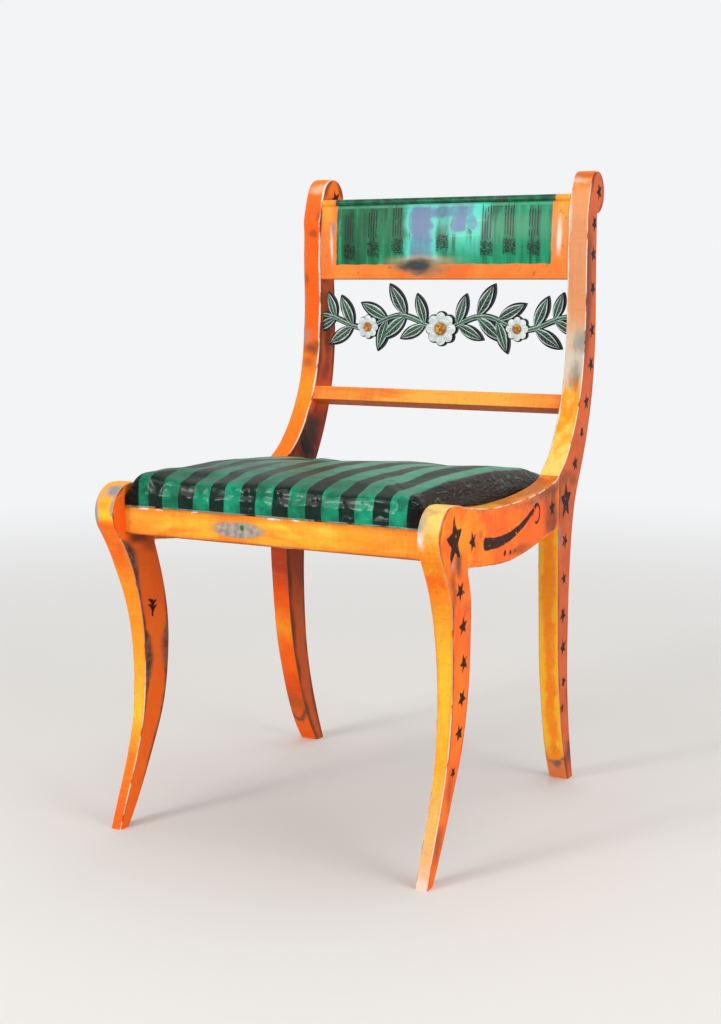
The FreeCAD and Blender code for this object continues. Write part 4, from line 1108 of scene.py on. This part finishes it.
def vinePaint(name):
    # u runs along a blade or the stem; fromMiddle is 0 on its middle line and 1 at its sides
    p = newPaint(name, vineColours)
    p.u, v, _ = p.split(p.node("ShaderNodeUVMap"))
    p.fromMiddle = abs(v - 0.5) * 2
    p.grain = p.noise(160.0, 4.0)
    return p


def vineFinish(p, colour, height):
    return p.finish(colour, 0.34 + p.grain * 0.15, height, 0.0003, coat=0.12, coatRough=0.15, gloss=0.15)


def makeLeafPaint():
    p = vinePaint("leafPaint")
    slow = p.noise(45.0, 3.0)
    green = p.mix(p.fade(slow, 0.35, 0.65), "leafDark", "leafLight")
    barbs = p.math("FRACT", p.u * 7.0 - p.fromMiddle * 1.7 + (p.grain - 0.5) * 0.25)
    barbs = p.window(barbs, 0.10, 0.32, 0.05) * p.window(p.fromMiddle, 0.22, 0.8, 0.08)
    green = p.mix(barbs * 0.32, green, "sage")
    rim = p.fade(p.fromMiddle + (slow - 0.5) * 0.4, 0.66, 0.78)
    colour = p.mix(rim * 0.92, green, p.mix(p.fade(p.grain, 0.4, 0.6), "silver", "silverDeep"))
    vein = p.fade(p.fromMiddle, 0.09, 0.04) * p.fade(p.u, 0.94, 0.85)
    colour = p.mix(vein * 0.8, colour, "silver")
    outline = p.most(p.fade(p.fromMiddle, 0.9, 0.96), p.fade(abs(p.u - 0.5) * 2, 0.94, 0.98))
    colour = p.mix(outline, colour, "outline")
    colour = p.mix(p.fade(abs(p.ny), 0.5, 0.2), colour, "outline")
    return vineFinish(p, colour, p.grain + slow)


def makePetalPaint():
    p = vinePaint("petalPaint")
    colour = p.mix(p.fade(p.grain, 0.4, 0.6), "petalLight", "petalDeep")
    lines = p.window(p.math("FRACT", p.fromMiddle * 2.4), 0.4, 0.62, 0.1) * p.window(p.u, 0.3, 0.75, 0.12)
    colour = p.mix(lines * 0.5, colour, "petalLine")
    colour = p.mix(p.fade(p.u, 0.5, 0.3) * 0.7, colour, "petalRoot")
    outline = p.most(p.fade(p.fromMiddle, 0.86, 0.94), p.fade(p.u, 0.95, 0.98))
    colour = p.mix(outline, colour, "outline")
    colour = p.mix(p.fade(abs(p.ny), 0.5, 0.2), colour, "outline")
    return vineFinish(p, colour, p.grain)


def makeEyePaint():
    p = newPaint("eyePaint", vineColours)
    cells = p.node("ShaderNodeTexVoronoi", sockets={"Vector": p.spot, "Scale": 420.0}, out="Distance")
    patch = p.noise(150.0, 2.0)
    colour = p.mix(p.fade(patch, 0.42, 0.58), "eyeYellow", "eyeOrange")
    colour = p.mix(p.fade(cells, 0.3, 0.6) * 0.7, colour, "eyeBrown")
    return p.finish(colour, 0.4 + patch * 0.1, 1 - cells, 0.0008, coat=0.12, coatRough=0.15, gloss=0.15)


def makeStemPaint():
    p = vinePaint("stemPaint")
    colour = p.mix(p.fade(p.grain, 0.35, 0.65), "stemDark", "stemLight")
    line = p.window(p.fromMiddle + (p.grain - 0.5) * 0.3, 0.5, 0.72, 0.08)
    colour = p.mix(line * 0.85, colour, "stemLine")
    colour = p.mix(p.fade(abs(p.ny), 0.6, 0.25), colour, "outline")
    return vineFinish(p, colour, p.grain)


def makePlatePaint():
    # the cut board itself: near-black edges, and a plain green back with rubbed edges
    p = newPaint("platePaint", vineColours)
    grain = p.noise(90.0, 4.0)
    slow = p.noise(25.0, 3.0)
    colour = p.mix(p.fade(slow, 0.35, 0.65), "plateDark", "plateLight")
    colour = p.mix(p.fade(grain, 0.55, 0.7) * 0.4, colour, "sage")
    colour = p.mix(p.fade(p.ny, 0.5, 0.2), colour, "plateEdge")
    return p.finish(colour, 0.36 + grain * 0.2, grain, 0.0004, coat=0.1, coatRough=0.15, gloss=0.15)


leafPaint = makeLeafPaint()
petalPaint = makePetalPaint()
dress(nodes["ornament"], makePlatePaint())

baseLeaf = blade("leafShape", vine["leafLength"] * vine["leafFill"], vine["leafWidth"] * vine["leafPinch"],
                 vine["leafBelly"], vine["leafTip"], vine["leafGrid"], vine["leafCup"])
leafCount = 0
for share, size in zip(vine["leafPlaces"], vine["leafSizes"]):
    x, z = vineAt(share)
    for turn in (vine["leafAngle"], -vine["leafAngle"]):
        for side in (1, -1):
            leafCount += 1
            leaf = copyOf(baseLeaf, "vineLeaf%02d" % leafCount)
            angle = vineTurn(share) + math.radians(turn)
            angle = angle if side > 0 else math.pi - angle
            lift = vine["leafLift"][0] + vine["leafLift"][1] * (leafCount % 3)
            setOnPlate(leaf, side * x, z, angle, size, lift)
            onVine(leaf, leafPaint)
bpy.data.objects.remove(baseLeaf)

# the stem's relief: a strip whose columns follow the winding line
stem = gridPiece("vineStem", vine["stemColumns"], vine["stemRows"], (0, 0, 0), vine["stemCup"])
halfStem = vineReach * vine["stemShare"]
bpy.ops.mesh.select_all(action="SELECT")
bpy.ops.transform.resize(value=(2 * halfStem, vine["stemWide"], 1), center_override=(0, 0, 0))
for column in range(vine["stemColumns"] + 1):
    place = (2 * column / vine["stemColumns"] - 1) * halfStem
    pick(stem, lambda v: abs(v.co.x - place) < 0.0005)
    bpy.ops.transform.translate(value=(0, vineAt(abs(place) / vineReach)[1], 0))
bpy.ops.object.mode_set(mode="OBJECT")
applyModifier(stem, "SOLIDIFY", {"thickness": vine["relief"], "offset": -1.0})
setOnPlate(stem, 0, 0, 0)
onVine(stem, makeStemPaint())

eyePaint = makeEyePaint()
basePetal = blade("petalShape", vine["petalLength"], vine["petalWidth"], vine["petalBelly"], vine["petalTip"],
                  vine["petalGrid"], vine["petalCup"])
for name, share, radius in vine["flowers"]:
    x, z = vineAt(abs(share))
    x = x if share >= 0 else -x
    petals = []
    for index in range(vine["petals"]):
        petal = copyOf(basePetal, name + "Petal")
        lift = vine["petalLift"][0] + vine["petalLift"][1] * (index % 2)
        setOnPlate(petal, x, z, 2 * math.pi * index / vine["petals"], radius, lift)
        petals.append(petal)
    onVine(joined(petals, name), petalPaint)
    # the eye: a low turned button
    rest()
    bpy.ops.mesh.primitive_cylinder_add(
        vertices=vine["eyeSides"], radius=radius * vine["eyeShare"], depth=vine["eyeDeep"],
        location=(x, vineFace - vine["eyeOut"], z), rotation=(vine["upright"], 0, 0))
    eye = bpy.context.object
    eye.name = name + "Eye"
    settle(eye)
    hold(eye)
    bpy.ops.object.mode_set(mode="EDIT")
    pick(eye, lambda f: f.normal.y < -0.9, "polygons")
    for depth in vine["insets"]:
        bpy.ops.mesh.inset(thickness=radius * vine["insetShare"], depth=depth)
    bpy.ops.object.mode_set(mode="OBJECT")
    applyModifier(eye, "BEVEL", {"width": vine["eyeBevel"], "segments": 2})
    smoothed(eye, vine["eyeSmooth"])
    onVine(eye, eyePaint)
bpy.data.objects.remove(basePetal)
print("vine made with", leafCount, "leaves")

# The seat

seat = {
    "voxel": 0.005, "pressure": 4.0, "stiff": 15, "bend": 0.5, "frames": 20, "heldUnder": 0.4255,
    "cap": 0.003, "bottom": 0.4111, "cut": 0.4135, "hem": 0.032, "hemThick": 0.0010, "boardTop": 0.4247,
    "clear": 0.0006, "fill": 0.8, "corner": 0.028, "squareness": 0.40, "shoulderLift": 0.0060,
    "middleDrop": 0.0062, "topRamp": (0.426, 0.444), "unevenOver": 0.425, "weld": 0.00001,
    "shoulderRise": (0.0, 0.012), "shoulderFall": (0.050, 0.014), "middleRamp": (0.035, 0.12),
    "swellRamp": (0.0, 0.8), "pastFront": 0.001, "pastBack": 0.002, "smooth": 55,
    "swells": (               # uneven stuffing: middle in x and y, reach in x and y, height
        (-0.175, -0.225, 0.06, 0.06, 0.0040), (0.195, 0.130, 0.045, 0.09, 0.0055),
        (0.11, 0.12, 0.10, 0.10, -0.0030), (-0.10, 0.06, 0.16, 0.20, -0.0050)),
    "waves": ((14.0, 0.0012), (42.0, 0.0004)),
    "stripe": 0.0446, "firstStripe": -0.1622, "dark": 0.0215, "blackSide": (0.0225, 0.0200),
    "dustLine": (0.4136, 0.4124), "lowCreases": (0.424, 0.415), "sheenBand": (0.432, 0.450, 0.006),
    "gathers": ((0.203, -0.250), (0.040, 0.030)),
}
vinylColours = {
    "green": "0a7450", "greenBlue": "0a9470", "greenDark": "0a4530", "greenLight": "25b08a",
    "ink": "060b0a", "inkGreen": "122320", "topGreen": "2a6048", "topPale": "56967e", "topInk": "101f1b",
    "topInkPale": "22382f", "side": "050707", "dust": "a9bdb2", "crease": "4c7a70", "creaseGrey": "3f524e",
}
coverLow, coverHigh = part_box("seat_cover")


def risen(value, low, high):
    # 0 to 1 between two values, smoothly
    t = max(0.0, min(1.0, (value - low) / (high - low)))
    return t * t * (3 - 2 * t)


def shaped(place, limit):
    # the plan's corners are filled out, because the cover is pulled square over the board
    inSide = max(0.0, seat["corner"] - (limit - abs(place.x)))
    inFront = max(0.0, seat["corner"] - (place.y - coverLow.y))
    if inSide > 0 and inFront > 0:
        square = seat["squareness"] * 2 * inSide * inFront / (inSide ** 2 + inFront ** 2)
        place.x += math.copysign(inSide * square, place.x)
        place.y -= inFront * square
    # fuller shoulders and a flatter middle
    fromSide = max(0.0, limit - abs(place.x))
    above = risen(place.z, *seat["topRamp"])
    shoulder = risen(fromSide, *seat["shoulderRise"]) * risen(fromSide, *seat["shoulderFall"])
    sunk = risen(fromSide, *seat["middleRamp"])
    place.z += above * (seat["shoulderLift"] * shoulder - seat["middleDrop"] * sunk)
    for middleX, middleY, reachX, reachY, height in seat["swells"]:
        near = 1 - math.hypot((place.x - middleX) / reachX, (place.y - middleY) / reachY)
        place.z += above * height * risen(near, *seat["swellRamp"])
    place.x = max(-limit, min(limit, place.x))
    place.y = max(coverLow.y - seat["pastFront"], min(coverHigh.y + seat["pastBack"], place.y))
    return place


def puffed(cushion):
    # pressed out like a filled cover, held along its foot
    group = cushion.vertex_groups.new(name="held")
    group.add([v.index for v in cushion.data.vertices if v.co.z < seat["heldUnder"]], 1.0, "REPLACE")
    cloth = cushion.modifiers.new("Cloth", "CLOTH")
    cloth.settings.use_pressure = True
    cloth.settings.uniform_pressure_force = seat["pressure"]
    cloth.settings.effector_weights.gravity = 0.0
    cloth.settings.vertex_group_mass = "held"
    cloth.settings.tension_stiffness = seat["stiff"]
    cloth.settings.compression_stiffness = seat["stiff"]
    cloth.settings.bending_stiffness = seat["bend"]
    cloth.point_cache.frame_end = seat["frames"]
    for step in range(1, seat["frames"] + 1):
        scene.frame_set(step)
    hold(cushion)
    bpy.ops.object.modifier_apply(modifier=cloth.name)


def makeCushion():
    cushion = copyOf(nodes["seat_foam"], "seatCushion")
    cushion.data.name = "seatCushion"
    for key in list(cushion.keys()):
        del cushion[key]
    cushion.parent = None
    hold(cushion)
    bpy.ops.object.mode_set(mode="EDIT")
    bpy.ops.mesh.select_all(action="SELECT")
    bpy.ops.mesh.remove_doubles(threshold=seat["weld"])
    bpy.ops.object.mode_set(mode="OBJECT")
    cushion.data.remesh_voxel_size = seat["voxel"]
    bpy.ops.object.voxel_remesh()
    start = [v.co.copy() for v in cushion.data.vertices]
    puffed(cushion)
    for vertex, first in zip(cushion.data.vertices, start):
        moved = vertex.co - first
        if moved.length > seat["cap"]:
            moved *= seat["cap"] / moved.length
        place = first + moved
        vertex.co = shaped(place, halfAt(place.y) - chair["side"] - seat["clear"])
    return cushion


cushion = makeCushion()
applyModifier(cushion, "SUBSURF", {"levels": 1, "render_levels": 1})
# soft unevenness of old stuffing under the cover
for vertex in cushion.data.vertices:
    if vertex.co.z > seat["unevenOver"]:
        vertex.co.z += sum(noise.noise(vertex.co * scale) * height for scale, height in seat["waves"])
hold(cushion)
bpy.ops.object.mode_set(mode="EDIT")
bpy.ops.mesh.select_all(action="SELECT")
bpy.ops.mesh.bisect(plane_co=(0, 0, seat["cut"]), plane_no=(0, 0, 1), clear_inner=True, use_fill=True)
pick(cushion, lambda f: f.normal.z < -0.99 and len(f.vertices) > 20, "polygons")
bpy.ops.transform.translate(value=(0, 0, seat["bottom"] - seat["cut"]))
# the cover's hem turned under, then the hollow that holds the board
hemMiddle = (0, (coverLow.y + coverHigh.y) / 2, seat["bottom"])
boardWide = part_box("seat_board")[1].x + seat["clear"]
hemWide = coverHigh.x - seat["hem"]
pocketDeep = seat["boardTop"] - seat["bottom"] - seat["hemThick"]
hemSteps = ((hemWide / coverHigh.x, 0), (1, seat["hemThick"]), (boardWide / hemWide, 0), (1, pocketDeep))
for grow, rise in hemSteps:
    bpy.ops.mesh.extrude_region_move(TRANSFORM_OT_translate={"value": (0, 0, rise)})
    bpy.ops.transform.resize(value=(grow, grow, 1), center_override=hemMiddle)
bpy.ops.object.mode_set(mode="OBJECT")
smoothed(cushion, seat["smooth"])


def makeVinyl():
    p = newPaint("seatVinyl", vinylColours)
    warp = (p.noise(26.0, 2.0) - 0.5) * 0.004
    firstAt = 8.0 + seat["dark"] / 2 / seat["stripe"]
    phase = p.math("FRACT", (p.x + warp - seat["firstStripe"]) / seat["stripe"] + firstAt)
    grain = p.noise(60.0, 5.0)
    ragged = (grain - 0.5) * 0.05
    black = p.window(phase + ragged, 0.004, seat["dark"] / seat["stripe"], 0.012)
    slow = p.noise(14.0, 3.0)
    green = p.mix(p.fade(slow + p.x * 0.6, 0.35, 0.65), "green", "greenBlue")
    green = p.mix(p.fade(grain, 0.46, 0.62) * 0.55, green, "greenDark")
    green = p.mix(p.fade(grain, 0.42, 0.3) * 0.5, green, "greenLight")
    ink = p.mix(p.fade(grain, 0.4, 0.7), "ink", "inkGreen")
    # on top the colours are painted as the cover's sheen: deeper near the front, paler towards the back and
    # right; the top is also rougher
    onTop = p.fade(p.nz, 0.75, 0.97)
    rearwards = p.fade(p.y + p.x * 0.6 + (slow - 0.5) * 0.2, -0.19, -0.04)
    green = p.mix(onTop * 0.65, green, p.mix(rearwards, "topGreen", "topPale"))
    ink = p.mix(onTop * 0.6, ink, p.mix(rearwards, "topInk", "topInkPale"))
    colour = p.mix(black * 0.96, green, ink)
    # plain black sides
    toSide = halfAt(p.y) - chair["side"] - abs(p.x)
    border = p.fade(toSide + warp + ragged * 0.03, *seat["blackSide"])
    colour = p.mix(border, colour, "side")
    # a thin dusty line where the front meets the rail
    dust = p.fade(p.z + ragged * 0.02, *seat["dustLine"]) * frontSide(p)
    colour = p.mix(dust * p.fade(p.noise(60.0, 3.0), 0.34, 0.56) * 0.6, colour, "dust")
    # fine creases along the sides and low on the front, and gathered folds at the front corners
    creases = p.noise(1.0, 5.0, p.stretched(95, 36, 130), distortion=1.8)
    zone = p.most(border, p.fade(p.z, *seat["lowCreases"]) * 0.12)
    corner = p.haze(abs(p.x), p.y, *seat["gathers"], grain)
    gathers = p.noise(1.0, 3.0, p.stretched(130, 130, 16), distortion=0.8)
    pebble = p.noise(520.0, 3.0)
    dimples = p.noise(38.0, 0.6, distortion=0.6)
    onFront = p.fade(p.ny, -0.25, -0.6) * (1 - border)
    height = dimples * (0.30 + onFront * 1.3) + pebble * 0.015 + creases * zone * 2.8 + gathers * corner * 1.6
    # ridges of the creases get painted teal glints in a band along the sides, and fainter grey ones over all
    # of the sides
    sheen = p.window(p.z + (slow - 0.5) * 0.02, *seat["sheenBand"])
    colour = p.mix(border * sheen * p.fade(creases, 0.54, 0.64) * 0.7, colour, "crease")
    colour = p.mix(border * p.fade(creases, 0.58, 0.68) * 0.25, colour, "creaseGrey")
    rough = 0.12 + grain * 0.12 + onTop * (1 - border) * 0.26 + border * 0.06
    return p.finish(colour, rough, height, 0.0032, gloss=0.15)


dress(cushion, makeVinyl())
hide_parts("seat_cover", "seat_foam")
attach(cushion, "root")
print("seat made with", len(cushion.data.polygons), "faces")

# Camera, floor and light

shot = {                      # angles in degrees
    "place": (0.9631, -1.8158, 0.6838), "yaw": 28.24, "down": 8.248, "roll": -0.08, "lens": 55.3,
    "sensor": 36.0, "near": 0.05,
}
studio = {
    "floorRadius": 14.0, "floorRough": 0.75, "floorFade": (0.7, 3.2), "worldTone": (1.0, 0.99, 0.97, 1),
    "worldPower": 0.66,
    "lamps": (                # name, place, target, size, power, tone
        ("keyLight", (-1.4, -3.0, 2.6), (0, 0, 0.45), 1.8, 40, (1, 0.98, 0.95)),
        ("lowLight", (-1.35, -2.9, 1.35), (0, -0.2, 0.40), 0.5, 22, (1, 0.98, 0.95)),
        ("fillLight", (3.1, -0.6, 1.3), (0, 0, 0.40), 1.8, 42, (1, 0.99, 0.98)),
        ("topLight", (0.2, 0.8, 3.2), (0, 0, 0.4), 2.4, 18, (1, 1, 1))),
}
studioColours = {"floor": "dddcda", "backdrop": "f3f4f6"}


def seenDirectly(p):
    # 1 for rays from the camera, also by a reflection or through something clear
    rays = p.node("ShaderNodeLightPath").socket.node
    kinds = ("Is Camera Ray", "Is Glossy Ray", "Is Transmission Ray")
    return p.most(*[Wire(p, rays.outputs[kind]) for kind in kinds])


bpy.ops.object.camera_add(location=shot["place"], rotation=(
    math.radians(90 - shot["down"]), math.radians(shot["roll"]), math.radians(shot["yaw"])))
camera = bpy.context.object
camera.data.lens = shot["lens"]
camera.data.sensor_width = shot["sensor"]
camera.data.clip_start = shot["near"]
scene.camera = camera

rest()
bpy.ops.mesh.primitive_circle_add(
    vertices=96, radius=studio["floorRadius"], fill_type="NGON", location=(0, 0, 0))
floor = bpy.context.object
floor.name = "floor"
p = newPaint("floorPaint", studioColours)
ground = p.node("ShaderNodeBsdfPrincipled", sockets={
    "Base Color": "floor", "Roughness": studio["floorRough"]})
glow = p.node("ShaderNodeEmission", sockets={"Color": "backdrop", "Strength": 1.0})
away = p.fade(p.length(p.x, p.y), *studio["floorFade"])
mixed = p.node("ShaderNodeMixShader", sockets={0: seenDirectly(p) * away, 1: ground, 2: glow})
p.node("ShaderNodeOutputMaterial", sockets={"Surface": mixed})
dress(floor, p.owner)

scene.world = bpy.data.worlds.new("studio")
p = Paint(scene.world, studioColours)
light = p.node("ShaderNodeBackground", sockets={
    "Color": studio["worldTone"], "Strength": studio["worldPower"]})
backdrop = p.node("ShaderNodeBackground", sockets={"Color": "backdrop", "Strength": 1.0})
mixed = p.node("ShaderNodeMixShader", sockets={0: seenDirectly(p), 1: light, 2: backdrop})
p.node("ShaderNodeOutputWorld", sockets={"Surface": mixed})

for name, place, target, size, power, tone in studio["lamps"]:
    lamp = bpy.data.lights.new(name, "AREA")
    lamp.size = size
    lamp.energy = power
    lamp.color = tone
    made = bpy.data.objects.new(name, lamp)
    scene.collection.objects.link(made)
    made.location = place
    made.rotation_euler = (Vector(target) - Vector(place)).to_track_quat("-Z", "Y").to_euler()
print("camera and light set")
